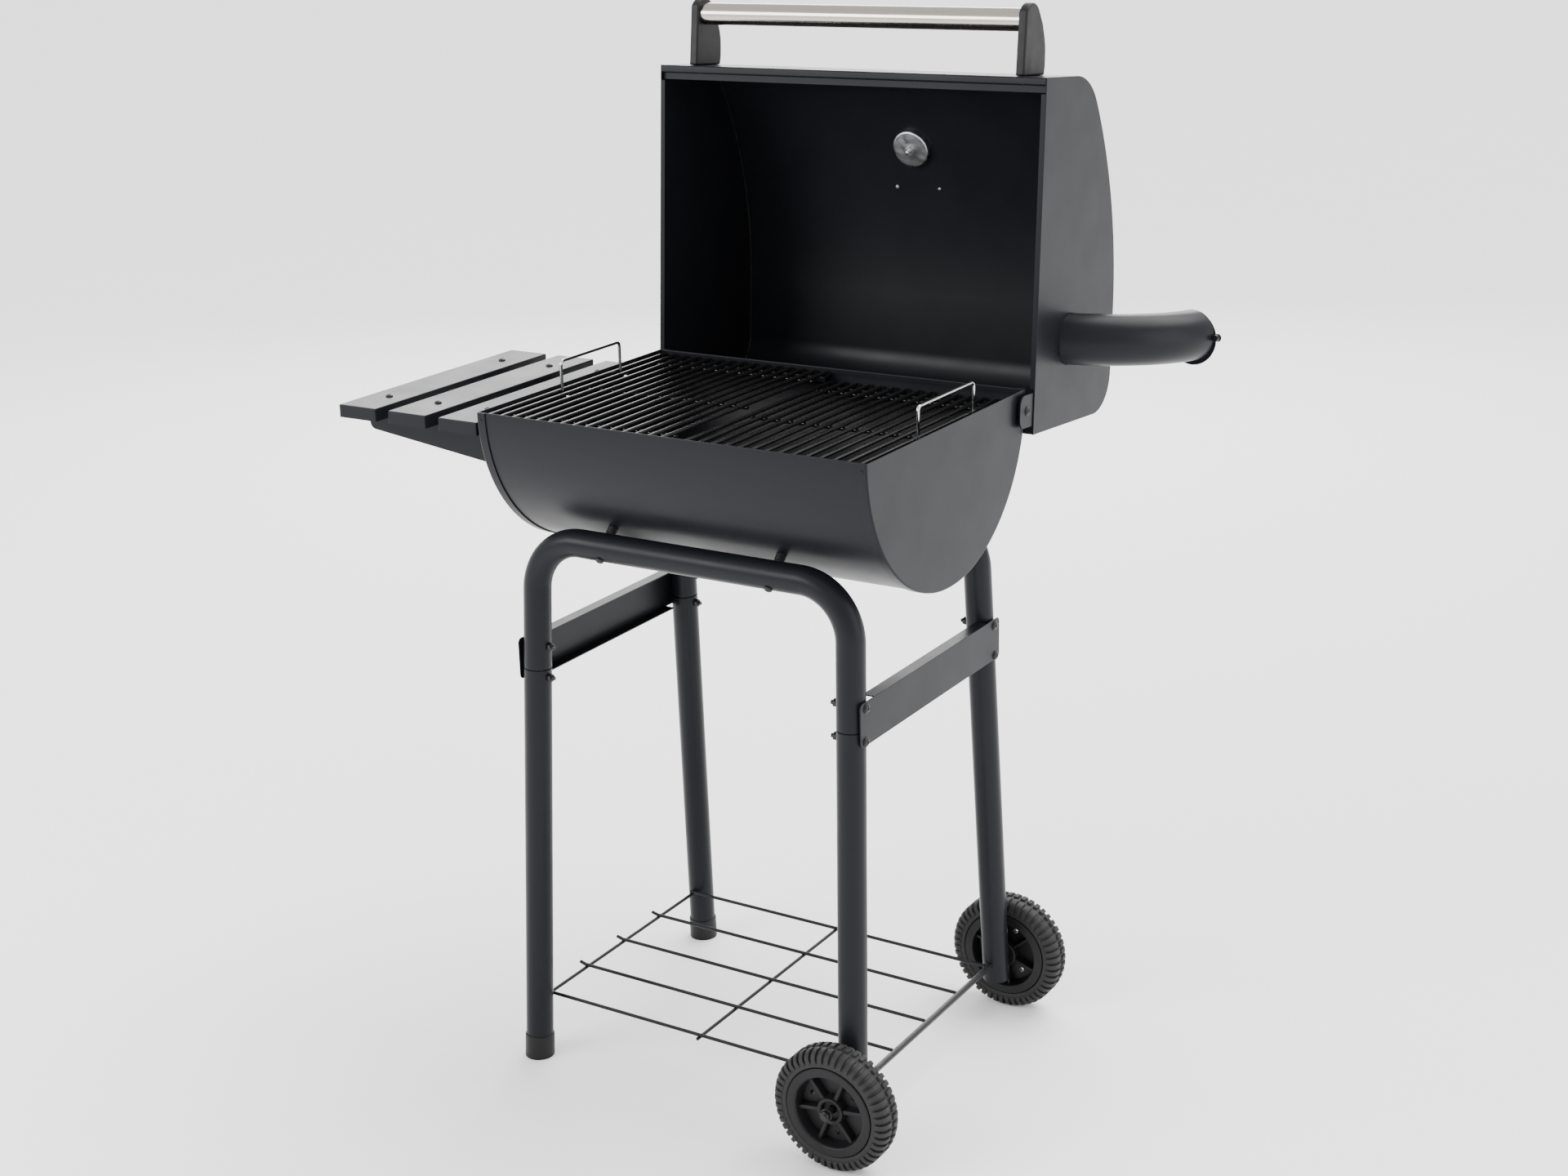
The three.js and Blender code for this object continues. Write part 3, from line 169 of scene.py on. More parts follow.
def start_material(name, base, roughness, metallic=0.0, **settings):
    """A material with a Principled shader and object coordinates to build on."""
    material = bpy.data.materials.new(name)
    material.use_nodes = True
    tree = material.node_tree
    shader = tree.nodes["Principled BSDF"]
    shader.inputs["Base Color"].default_value = (*base, 1)
    shader.inputs["Roughness"].default_value = roughness
    shader.inputs["Metallic"].default_value = metallic
    for socket, value in settings.items():
        shader.inputs[socket.replace("_", " ")].default_value = value
    place = add_node(tree, "ShaderNodeTexCoord").outputs["Object"]
    return material, tree, shader, place


def grain(tree, place, feature, detail=3.0):
    """Noise whose lumps are about one feature across, in metres."""
    settings = {"Scale": 1 / feature, "Detail": detail}
    return add_node(tree, "ShaderNodeTexNoise", settings, {"Vector": place}).outputs["Fac"]


def spread(tree, value, low, high):
    """Maps noise to a range of values."""
    settings = {"From Min": 0.3, "From Max": 0.7, "To Min": low, "To Max": high}
    return add_node(tree, "ShaderNodeMapRange", settings, {"Value": value}).outputs["Result"]


def tinted(tree, value, dark, light):
    """Mixes two colours by a value."""
    mix = add_node(tree, "ShaderNodeMix", {"data_type": "RGBA"})
    mix.inputs["A"].default_value = (*dark, 1)
    mix.inputs["B"].default_value = (*light, 1)
    tree.links.new(value, mix.inputs["Factor"])
    return mix.outputs["Result"]


def raise_bumps(tree, shader, height, depth, strength=1.0):
    settings = {"Distance": depth, "Strength": strength}
    bump = add_node(tree, "ShaderNodeBump", settings, {"Height": height})
    tree.links.new(bump.outputs["Normal"], shader.inputs["Normal"])


def vary(tree, shader, value, dark, light, rough):
    """Lets a value drive the colour and the roughness together."""
    tree.links.new(tinted(tree, value, dark, light), shader.inputs["Base Color"])
    tree.links.new(spread(tree, value, *rough), shader.inputs["Roughness"])


def shaded(base, factor):
    return tuple(min(c * factor, 1) for c in base)


def powder_coat():
    """Baked polyester powder on steel: a soft sheen with fine orange peel, about 1.5 mm across."""
    base = tuple(colours().powder)
    material, tree, shader, place = start_material("satin_powder_coat", base, 0.4, Specular_IOR_Level=0.14)
    blotch = grain(tree, place, 60 * MM, 2)
    peel = grain(tree, place, 1.5 * MM, 2)
    vary(tree, shader, blotch, shaded(base, 0.93), shaded(base, 1.07), (0.33, 0.4))
    raise_bumps(tree, shader, peel, 0.02 * MM)
    return material


def gloss_enamel():
    """Vitreous enamel on wire: near-black and glossy, with faint pooling a few centimetres long."""
    base = tuple(colours().enamel)
    material, tree, shader, place = start_material("gloss_enamel", base, 0.26)
    pool = grain(tree, place, 30 * MM)
    tree.links.new(spread(tree, pool, 0.24, 0.32), shader.inputs["Roughness"])
    raise_bumps(tree, shader, grain(tree, place, 4 * MM), 0.01 * MM)
    return material


def chrome_plate():
    """Bright nickel-chrome on wire: sharp reflections with a trace of drawing lines under the plate."""
    material, tree, shader, place = start_material("chrome_plate", from_hex("d6d6d8"), 0.12, 1.0)
    tree.links.new(spread(tree, grain(tree, place, 4 * MM), 0.08, 0.18), shader.inputs["Roughness"])
    return material


def polished_stainless():
    """Polished stainless tube: a mirror along its length, softened by fine rings from the polishing belt."""
    material, tree, shader, place = start_material("polished_stainless", from_hex("b0aaa2"), 0.16, 1.0)
    stretch = add_node(tree, "ShaderNodeMapping", {"Scale": (1, 0.08, 0.08)}, {"Vector": place})
    rings = grain(tree, stretch.outputs["Vector"], 0.9 * MM, 2)
    tree.links.new(spread(tree, rings, 0.12, 0.24), shader.inputs["Roughness"])
    raise_bumps(tree, shader, rings, 0.004 * MM)
    return material


def zinc_plate():
    """Zinc-plated pressing: pale grey metal, cloudy over a centimetre, with soft reflections."""
    base = from_hex("bfc1c3")
    material, tree, shader, place = start_material("zinc_plate", base, 0.34, 1.0)
    cloud = grain(tree, place, 9 * MM)
    vary(tree, shader, cloud, shaded(base, 0.82), shaded(base, 1.1), (0.26, 0.44))
    return material


def black_zinc():
    """Black passivated screws and rods: a dark film that hides the metal, slightly glossy and uneven."""
    base = from_hex("1b1b1d")
    material, tree, shader, place = start_material("black_zinc", base, 0.34, Specular_IOR_Level=0.3)
    cloud = grain(tree, place, 3 * MM)
    tree.links.new(spread(tree, cloud, 0.26, 0.46), shader.inputs["Roughness"])
    raise_bumps(tree, shader, cloud, 0.03 * MM)
    return material


def moulded_plastic():
    """Injection-moulded polypropylene: black and dull, with a spark-eroded grain about 0.8 mm across."""
    base = tuple(colours().plastic)
    settings = {"Specular_IOR_Level": 0.22}
    material, tree, shader, place = start_material("moulded_polypropylene", base, 0.46, **settings)
    spark = grain(tree, place, 0.8 * MM, 2)
    tree.links.new(spread(tree, grain(tree, place, 20 * MM), 0.4, 0.5), shader.inputs["Roughness"])
    raise_bumps(tree, shader, spark, 0.05 * MM)
    return material


def blown_tyre():
    """Blow-moulded polyethylene tyre: dull charcoal black, scuffed paler in patches and flow lines."""
    base = from_hex("1b1b1b")
    material, tree, shader, place = start_material("blown_polyethylene", base, 0.6, Specular_IOR_Level=0.3)
    scuff = grain(tree, place, 5 * MM, 6)
    vary(tree, shader, scuff, shaded(base, 0.75), shaded(base, 1.6), (0.52, 0.7))
    raise_bumps(tree, shader, grain(tree, place, 1.4 * MM, 4), 0.12 * MM)
    return material


def dial_print():
    """Screen-printed white tin: matt white with faint mottling."""
    base = from_hex("e9e8e2")
    material, tree, shader, place = start_material("dial_white", base, 0.45)
    mottle = grain(tree, place, 2 * MM)
    tree.links.new(tinted(tree, mottle, shaded(base, 0.97), base), shader.inputs["Base Color"])
    return material


def signal_paint(name, code):
    """Stoved paint for the needle and the dial's marks, slightly uneven in gloss."""
    material, tree, shader, place = start_material(name, from_hex(code), 0.4)
    tree.links.new(spread(tree, grain(tree, place, 2 * MM), 0.34, 0.46), shader.inputs["Roughness"])
    return material


def gauge_glass():
    """Clear float glass, 2 mm thick, over the dial."""
    settings = {"Transmission_Weight": 1.0, "IOR": 1.5}
    material, tree, shader, place = start_material("gauge_glass", (1, 1, 1), 0.02, **settings)
    tree.links.new(spread(tree, grain(tree, place, 15 * MM), 0.01, 0.04), shader.inputs["Roughness"])
    return material


MATERIALS = {}


def material_for(key):
    """Makes each material once."""
    makers = {
        "powder": powder_coat,
        "enamel": gloss_enamel,
        "chrome": chrome_plate,
        "stainless": polished_stainless,
        "zinc": zinc_plate,
        "black_zinc": black_zinc,
        "plastic": moulded_plastic,
        "tyre": blown_tyre,
        "dial": dial_print,
        "red": lambda: signal_paint("needle_red", "b3201c"),
        "mark": lambda: signal_paint("dial_black", "161616"),
        "glass": gauge_glass,
    }
    if key not in MATERIALS:
        MATERIALS[key] = makers[key]()
    return MATERIALS[key]


# ---------- modelling by operators ----------
SAME_PLACE = 1e-6


def to_objects():
    if bpy.context.object and bpy.context.object.mode != "OBJECT":
        bpy.ops.object.mode_set(mode="OBJECT")


def deselect_all():
    to_objects()
    bpy.ops.object.select_all(action="DESELECT")


def select_only(piece):
    deselect_all()
    piece.select_set(True)
    bpy.context.view_layer.objects.active = piece


def edit(piece, mode="FACE"):
    select_only(piece)
    bpy.ops.object.mode_set(mode="EDIT")
    bpy.ops.mesh.select_mode(type=mode)
    bpy.ops.mesh.select_all(action="DESELECT")


def pick_all():
    bpy.ops.mesh.select_all(action="SELECT")


def extrude(along):
    bpy.ops.mesh.extrude_region_move(TRANSFORM_OT_translate={"value": along})


def pick(test, kind="faces"):
    """Selects the faces or edges of the mesh in edit mode that pass a test."""
    mesh = bmesh.from_edit_mesh(bpy.context.object.data)
    mesh.normal_update()
    for part in getattr(mesh, kind):
        part.select_set(bool(test(part)))
    if kind == "edges":
        mesh.select_flush_mode()
    bmesh.update_edit_mesh(bpy.context.object.data)


def close_up():
    """Merges doubles, turns every face outwards and leaves edit mode."""
    pick_all()
    bpy.ops.mesh.remove_doubles(threshold=SAME_PLACE)
    bpy.ops.mesh.normals_make_consistent(inside=False)
    bpy.ops.object.mode_set(mode="OBJECT")
    return bpy.context.object


def settle(piece, matrix=None):
    """Moves a piece by a matrix and puts that place into its mesh."""
    select_only(piece)
    if matrix is not None:
        piece.matrix_world = matrix @ piece.matrix_world
    bpy.ops.object.transform_apply(location=True, rotation=True, scale=True)
    return piece


def facing(origin, axis):
    """The matrix that stands a piece made along Z on a point along an axis."""
    turn = Vector(axis).to_track_quat("Z", "Y").to_matrix().to_4x4()
    return Matrix.Translation(Vector(origin)) @ turn


def use_modifier(piece, kind, **settings):
    select_only(piece)
    modifier = piece.modifiers.new(kind.lower(), kind)
    for name, value in settings.items():
        setattr(modifier, name, value)
    bpy.ops.object.modifier_apply(modifier=modifier.name)


def wire(name, points, closed=False):
    """Draws an edge chain by extruding a vertex from point to point. It stays selected in edit mode."""
    points = [Vector(p) for p in points]
    deselect_all()
    bpy.ops.mesh.primitive_plane_add(size=2, location=ORIGIN, enter_editmode=True)
    bpy.context.object.name = name
    bpy.ops.mesh.select_mode(type="VERT")
    pick_all()
    bpy.ops.mesh.merge(type="CENTER")
    bpy.ops.transform.translate(value=points[0])
    route = points + [points[0]] if closed else points
    for here, there in zip(route, route[1:]):
        extrude(there - here)
    pick_all()
    if closed:
        bpy.ops.mesh.remove_doubles(threshold=SAME_PLACE)
    return bpy.context.object


def prism(name, outline, along):
    """A solid from a closed outline, filled and extruded."""
    wire(name, outline, closed=True)
    bpy.ops.mesh.edge_face_add()
    extrude(Vector(along))
    return close_up()


def bent_sheet(name, chain, along, thickness):
    """A folded sheet: its middle line is extruded, then given its thickness both ways."""
    wire(name, chain)
    extrude(Vector(along))
    bpy.ops.object.mode_set(mode="OBJECT")
    piece = bpy.context.object
    use_modifier(piece, "SOLIDIFY", thickness=thickness, offset=0, use_even_offset=True)
    edit(piece)
    return close_up()


def in_mm(*pairs):
    """Pairs given in millimetres, as metres."""
    return [(a * MM, b * MM) for a, b in pairs]


def plug(radius, low, high):
    """The profile of a plain disc or rod."""
    return [(0, low), (radius, low), (radius, high), (0, high)]


def turned(name, profile, origin=ORIGIN, axis=UP, steps=40, closed=False):
    """A profile of radius and height spun about an axis."""
    wire(name, [(radius, 0, height) for radius, height in profile], closed)
    bpy.ops.mesh.spin(steps=steps, angle=math.tau, center=ORIGIN, axis=UP)
    return settle(close_up(), facing(origin, axis))


def repeated(piece, steps, angle=math.tau):
    """Repeats a piece around Z within its own mesh."""
    edit(piece)
    pick_all()
    bpy.ops.mesh.spin(steps=steps, angle=angle, dupli=True, center=ORIGIN, axis=UP)
    return close_up()


def trimmed(place, normal):
    """Cuts the mesh in edit mode by a plane, keeps what is behind it and closes the cut."""
    pick_all()
    bpy.ops.mesh.bisect(plane_co=place, plane_no=normal, use_fill=True, clear_outer=True)
    return close_up()


def hollow(test, wall, along):
    """Pushes the picked faces of the mesh in edit mode inwards, leaving a wall around them."""
    bpy.ops.mesh.select_mode(type="FACE")
    pick(test)
    bpy.ops.mesh.inset(thickness=wall, depth=0)
    extrude(along)


def hexagon(name, radius, low, high, origin=ORIGIN, axis=UP, chamfer=0.6 * MM):
    """A nut or hexagon head: a six-sided bar with its corners taken off."""
    deselect_all()
    bpy.ops.mesh.primitive_cylinder_add(vertices=6, radius=radius, depth=high - low,
                                        location=(0, 0, (low + high) / 2))
    piece = bpy.context.object
    piece.name = name
    bpy.ops.object.transform_apply(location=True, rotation=True, scale=True)
    use_modifier(piece, "BEVEL", width=chamfer, segments=2, limit_method="ANGLE", angle_limit=BLUNT)
    return settle(piece, facing(origin, axis))


def run(name, corners, radius, bend=0.0, sides=16, steps=8, wall=0.0):
    """A round rod or tube: a ring extruded along the straights and spun round the bends."""
    corners = [Vector(c) for c in corners]
    heading = (corners[1] - corners[0]).to_track_quat("Z", "Y").to_euler()
    deselect_all()
    bpy.ops.mesh.primitive_circle_add(vertices=sides, radius=radius, fill_type="NOTHING",
                                      location=corners[0], rotation=heading)
    piece = bpy.context.object
    piece.name = name
    bpy.ops.object.transform_apply(location=True, rotation=True, scale=True)
    bpy.ops.object.mode_set(mode="EDIT")
    bpy.ops.mesh.select_mode(type="VERT")
    pick_all()
    here = corners[0]
    for before, corner, after in zip(corners, corners[1:], corners[2:]):
        into = (corner - before).normalized()
        out = (after - corner).normalized()
        turn = into.angle(out)
        reach = bend * math.tan(turn / 2)
        start = corner - into * reach
        if (start - here).length > SAME_PLACE:
            extrude(start - here)
        axis = into.cross(out).normalized()
        centre = start + axis.cross(into) * bend
        bpy.ops.mesh.spin(steps=steps, angle=-turn, center=centre, axis=axis)
        here = corner + out * reach
    extrude(corners[-1] - here)
    pick_all()
    bpy.ops.mesh.fill_holes(sides=0)
    pick_all()
    bpy.ops.mesh.remove_doubles(threshold=SAME_PLACE)
    bpy.ops.mesh.normals_make_consistent(inside=False)
    if wall:
        bpy.ops.mesh.select_all(action="DESELECT")
        bpy.ops.mesh.select_mode(type="FACE")
        bpy.ops.mesh.select_face_by_sides(number=sides, type="EQUAL")
        bpy.ops.mesh.delete(type="FACE")
    bpy.ops.object.mode_set(mode="OBJECT")
    if wall:
        use_modifier(piece, "SOLIDIFY", thickness=wall, offset=-1)
    return piece


def block(name, low, high):
    """A box between two corners."""
    low, high = Vector(low), Vector(high)
    deselect_all()
    bpy.ops.mesh.primitive_cube_add(size=1, location=(low + high) / 2, scale=high - low)
    bpy.context.object.name = name
    return settle(bpy.context.object)


def soften(piece, width, segments=2, angle=BLUNT):
    """Rounds the creases."""
    use_modifier(piece, "BEVEL", width=width, segments=segments, limit_method="ANGLE", angle_limit=angle,
                 use_clamp_overlap=True)
    return piece


def cut_out(piece, cutter):
    """Cuts one piece with another, which is used up."""
    use_modifier(piece, "BOOLEAN", operation="DIFFERENCE", object=cutter, solver="EXACT")
    bpy.data.objects.remove(cutter)
    return piece


def copy_of(piece, name, matrix):
    """A copy with its own mesh, moved by a matrix."""
    select_only(piece)
    bpy.ops.object.duplicate(linked=False)
    copy = bpy.context.object
    copy.name = name
    flipped = matrix.determinant() < 0
    settle(copy, matrix)
    if flipped:
        edit(copy)
        close_up()
    return copy


def joined(name, pieces):
    deselect_all()
    for piece in pieces:
        piece.select_set(True)
    bpy.context.view_layer.objects.active = pieces[0]
    bpy.ops.object.join()
    pieces[0].name = name
    return pieces[0]


def mirrored(axis, place):
    """The matrix that mirrors across a plane at a place along x or y."""
    index = "xyz".index(axis)
    scale = [1, 1, 1]
    scale[index] = -1
    shift = Vector((0, 0, 0))
    shift[index] = 2 * place
    return Matrix.Translation(shift) @ Matrix.Diagonal((*scale, 1))


def done(piece, key, body, *nodes, angle=BLUNT):
    """Shades a piece, gives it its finish and hands it to its body."""
    select_only(piece)
    bpy.ops.object.shade_smooth_by_angle(angle=angle)
    use_modifier(piece, "WEIGHTED_NORMAL", keep_sharp=True)
    piece.data.materials.clear()
    piece.data.materials.append(material_for(key))
    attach(piece, body)
    if nodes:
        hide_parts(*nodes)
    return piece


def arc(centre, radius, start, end, steps):
    """Points of an arc in a plane, angles in degrees."""
    angles = [math.radians(start + (end - start) * i / steps) for i in range(steps + 1)]
    return [(centre[0] + radius * math.cos(a), centre[1] + radius * math.sin(a)) for a in angles]


def rounded(points, radius, steps=4, closed=False):
    """A flat polyline with its corners rounded. A radius may be given for each corner."""
    count = len(points)
    radii = radius if isinstance(radius, (list, tuple)) else [radius] * count
    out = []
    for i, point in enumerate(points):
        if (not closed and i in (0, count - 1)) or radii[i] <= 0:
            out.append(tuple(point))
            continue
        here = Vector(point)
        back = (Vector(points[i - 1]) - here).normalized()
        ahead = (Vector(points[(i + 1) % count]) - here).normalized()
        half = back.angle(ahead) / 2
        reach = radii[i] / math.tan(half)
        centre = here + (back + ahead).normalized() * radii[i] / math.sin(half)
        start = here + back * reach - centre
        end = here + ahead * reach - centre
        sweep = start.angle(end)
        for k in range(steps + 1):
            t = k / steps
            mix = start * math.sin((1 - t) * sweep) + end * math.sin(t * sweep)
            out.append(tuple(centre + mix / math.sin(sweep)))
    return out


# ---------- fasteners ----------
def pan_screw(name, radius, origin, axis, washer=0.0):
    """A domed screw head with a cross recess, standing on a surface and facing along an axis."""
    high = radius * 0.62
    shoulder = 0.3
    dome = [(0, 0), (radius, 0), (radius, high * shoulder)]
    for angle in (math.radians(a) for a in (20, 40, 60, 75)):
        dome.append((radius * math.cos(angle), high * (shoulder + (1 - shoulder) * math.sin(angle))))
    head = turned(name, dome + [(0, high)], steps=20)
    arm = radius * 0.52
    slot = radius * 0.1
    for long, wide in ((arm, slot), (slot, arm)):
        head = cut_out(head, block("recess", (-long, -wide, high * 0.45), (long, wide, high * 2)))
    parts = [head]
    if washer:
        rim = washer - 0.3 * MM
        ring = [(0, -GAP), (washer, -GAP), (washer, 0.5 * MM), (rim, 0.8 * MM), (0, 0.8 * MM)]
        parts.append(turned("washer", ring, steps=24))
    return settle(joined(name, parts), facing(origin, axis))


def bolt_tail(name, radius, nut, origin, axis, length):
    """A hexagon nut with the threaded end of its bolt standing through it."""
    parts = [hexagon("nut", nut, 0, nut * 0.85)]
    pitch = 1.0 * MM
    profile = [(0, 0)]
    z = 0.0
    while z < length - pitch:
        profile += [(radius, z), (radius * 0.86, z + pitch / 2)]
        z += pitch
    profile += [(radius * 0.9, length), (0, length)]
    parts.append(turned("thread", profile, steps=14))
    return settle(joined(name, parts), facing(origin, axis))


# ---------- bowl ----------
PLATE = 1.5 * MM  # thickness of ledges, side plates and shelf brackets
COLLAR_RADIUS = 6 * MM
COLLAR_LENGTH = 8.2 * MM
BOLT_HEAD = 5.2 * MM
RIVET_INSET = 6 * MM
RIVET_DROP = 9 * MM
END_FLANGE = END_HIGH.x - END_LOW.x
BOWL_BOLT_X = (sum(c.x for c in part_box("bowl_bolt_front_right")) / 2) - MIDDLE.x


class GRILL_OT_bowl(bpy.types.Operator):
    """Rolls the bowl's shell with hemmed rims and presses its two dished ends"""

    bl_idname = "grill.bowl"
    bl_label = "Bowl"

    def execute(self, context):
        sheet = sizes().sheet
        hem = sizes().hem
        mid = BOWL_RADIUS - sheet / 2
        fold = 1.25 * sheet
        inner = mid - fold
        half_turn = arc((-(mid - fold / 2), RIM - fold / 2 - sheet / 2), fold / 2, 0, 180, 6)
        shell = arc((0, RIM), mid, 180, 360, 72)[1:-1]
        front = [(-inner, RIM - hem)] + half_turn
        chain = front + shell + [(-y, z) for y, z in reversed(front)]
        points = [(BOWL_LOW.x, MIDDLE.y + y, z) for y, z in chain]
        piece = bent_sheet("bowl_shell_rolled", points, (BOWL_HIGH.x - BOWL_LOW.x, 0, 0), sheet)
        done(piece, "powder", "stand", "bowl_shell")
        self.ends(sheet)
        return {"FINISHED"}

    def ends(self, sheet):
        radius = (END_HIGH.y - END_LOW.y) / 2
        spare = 8 * MM
        outline = [(radius, spare)] + arc((0, 0), radius, 0, -180, 64) + [(-radius, spare)]
        points = [(END_HIGH.x, MIDDLE.y + y, RIM + z) for y, z in outline]
        piece = prism("bowl_end_pressed_right", points, (-END_FLANGE, 0, 0))
        edit(piece, "EDGE")
        pick(lambda e: all(abs(v.co.x - END_HIGH.x) < 1e-5 for v in e.verts), "edges")
        bpy.ops.mesh.bevel(offset=2.2 * MM, segments=4, affect="EDGES")
        hollow(lambda f: f.normal.x < -0.99, sheet, (END_FLANGE - sheet, 0, 0))
        trimmed((0, 0, RIM), UP)
        soften(piece, 0.3 * MM)
        other = copy_of(piece, "bowl_end_pressed_left", mirrored("x", MIDDLE.x))
        done(piece, "powder", "stand", "bowl_end_right")
        done(other, "powder", "stand", "bowl_end_left")


class GRILL_OT_ledges(bpy.types.Operator):
    """Folds the four ledges that carry the cooking grates"""

    bl_idname = "grill.ledges"
    bl_label = "Grate ledges"

    def execute(self, context):
        sheet = PLATE
        for hand, _ in HANDS:
            for end, side in ENDS:
                node = f"grate_rail_{hand}_{end}"
                low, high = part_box(node)
                inner, outer = (high.y, low.y) if side < 0 else (low.y, high.y)
                step = side * sheet / 2
                chain = rounded([(outer, high.z - sheet / 2), (inner + step, high.z - sheet / 2),
                                 (inner + step, low.z)], 1.2 * MM)
                points = [(low.x, y, z) for y, z in chain]
                piece = bent_sheet(f"{node}_folded", points, (high.x - low.x, 0, 0), sheet)
                done(piece, "powder", "stand", node)
        return {"FINISHED"}


class GRILL_OT_bowl_bolts(bpy.types.Operator):
    """Bolts the bowl to the frames, with a collar between and a rivet at each rim corner"""

    bl_idname = "grill.bowl_bolts"
    bl_label = "Bowl bolts"

    def execute(self, context):
        tube = sizes().tube_radius
        for end, side in ENDS:
            axis_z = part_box(f"u_frame_{end}")[1].z - tube
            top = legs_at(1, side, axis_z)
            reach = Vector((0, top.y - MIDDLE.y, axis_z - RIM))
            out = reach.normalized()
            for hand, across in HANDS:
                foot = Vector((MIDDLE.x + across * BOWL_BOLT_X, MIDDLE.y, RIM))
                far = foot + out * (reach.length + tube + GAP)
                collar = plug(COLLAR_RADIUS, 0, COLLAR_LENGTH)
                inside = foot + out * (BOWL_RADIUS - sizes().sheet)
                parts = [
                    pan_screw("head", BOLT_HEAD, far, out),
                    turned("collar", collar, foot + out * (BOWL_RADIUS + GAP), out, steps=28),
                    hexagon("nut", 5.6 * MM, 0.4 * MM, 2.6 * MM, inside, -out),
                ]
                piece = joined(f"bowl_bolt_set_{end}_{hand}", parts)
                done(piece, "black_zinc", "stand", f"bowl_bolt_{end}_{hand}")
        rivets = []
        profile = in_mm((0, 0), (2.2, 0), (1.8, 0.5), (0, 0.7))
        for _, across in HANDS:
            for _, side in ENDS:
                place = (MIDDLE.x + across * (BOWL_HALF - RIVET_INSET),
                         MIDDLE.y + side * (BOWL_RADIUS + GAP + sizes().sheet), RIM - RIVET_DROP)
                rivets.append(turned("rivet", profile, place, (0, side, 0), steps=16))
        done(joined("rim_corner_rivets", rivets), "powder", "stand")
        return {"FINISHED"}


# ---------- grates ----------
COOKING_BARS = 15
COOKING_RODS = (-150 * MM, 0, 150 * MM)
COAL_BARS = 16
COAL_RODS = (-75 * MM, 75 * MM)


class GRILL_OT_grates(bpy.types.Operator):
    """Welds up the two cooking grates and the charcoal grate from round bar"""

    bl_idname = "grill.grates"
    bl_label = "Grates"

    def execute(self, context):
        self.cooking("left")
        self.cooking("right")
        self.charcoal()
        return {"FINISHED"}

    def bars(self, name, node, count, radius, rod_places):
        low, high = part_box(node)
        start = Vector((low.x + radius, low.y, high.z - radius))
        bar = run(name, [start, (start.x, high.y, start.z)], radius, sides=14)
        soften(bar, radius * 0.55, segments=3)
        pitch = (high.x - low.x - 2 * radius) / (count - 1)
        use_modifier(bar, "ARRAY", count=count, use_relative_offset=False, use_constant_offset=True,
                     constant_offset_displace=(pitch, 0, 0))
        parts = [bar]
        for y in rod_places:
            ends = [(x, MIDDLE.y + y, low.z + radius) for x in (low.x + 0.5 * MM, high.x - 0.5 * MM)]
            rod = run("rod", ends, radius, sides=14)
            parts.append(soften(rod, radius * 0.5, segments=2))
        return joined(name, parts)

    def cooking(self, hand):
        node = f"cooking_grate_{hand}"
        piece = self.bars(f"{node}_bars", node, COOKING_BARS, sizes().bar_radius, COOKING_RODS)
        done(piece, "enamel", f"grate_{hand}", node)
        low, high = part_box(f"grate_handle_{hand}")
        r = sizes().bail_radius
        x, foot = low.x + r, high.x - 0.3 * MM
        if hand == "right":
            x, foot = high.x - r, low.x + 0.3 * MM
        front, back = low.y + r, high.y - r
        under, top = low.z + r, high.z - r
        corners = [(foot, front, under), (x, front, under), (x, front, top),
                   (x, back, top), (x, back, under), (foot, back, under)]
        bail = run(f"grate_bail_{hand}", corners, r, bend=5 * MM, sides=14, steps=6)
        done(bail, "chrome", f"grate_{hand}", f"grate_handle_{hand}")

    def charcoal(self):
        node = "charcoal_grate"
        piece = self.bars(f"{node}_bars", node, COAL_BARS, sizes().bar_radius, COAL_RODS)
        done(piece, "enamel", "coal_grate", node)


# ---------- lid ----------
LID_LIP = 8 * MM
STRIP_DEPTH = 5.6 * MM  # how far the front edge's second strip is set back
THERMO_HOLE = 25.2 * MM
END_LIP_DEPTH = 6.7 * MM
EAR_HALF = 20 * MM  # half the width of a hinge ear
EAR_ROOT = 22 * MM
EAR_TIP = 19 * MM  # below the hinge's axis


def lid_profile(inset, steps):
    """The lid's outline at an inset, from the rear edge of the opening to the front edge."""
    crown_v = LID_DEPTH - CROWN_RADIUS
    reach = CROWN_RADIUS - FRONT_CORNER
    front_u = LID_WIDTH - FRONT_CORNER
    front_v = crown_v + math.sqrt(reach ** 2 - (front_u - CROWN_START) ** 2)
    meet = math.degrees(math.atan2(front_v - crown_v, front_u - CROWN_START))
    rear = REAR_CORNER - inset
    return ([(inset, inset)] + arc((REAR_CORNER, LID_DEPTH - REAR_CORNER), rear, 180, 90, steps)
            + arc((CROWN_START, crown_v), CROWN_RADIUS - inset, 90, meet, steps)
            + arc((front_u, front_v), FRONT_CORNER - inset, meet, 0, steps)[1:]
            + [(LID_WIDTH - inset, inset)])


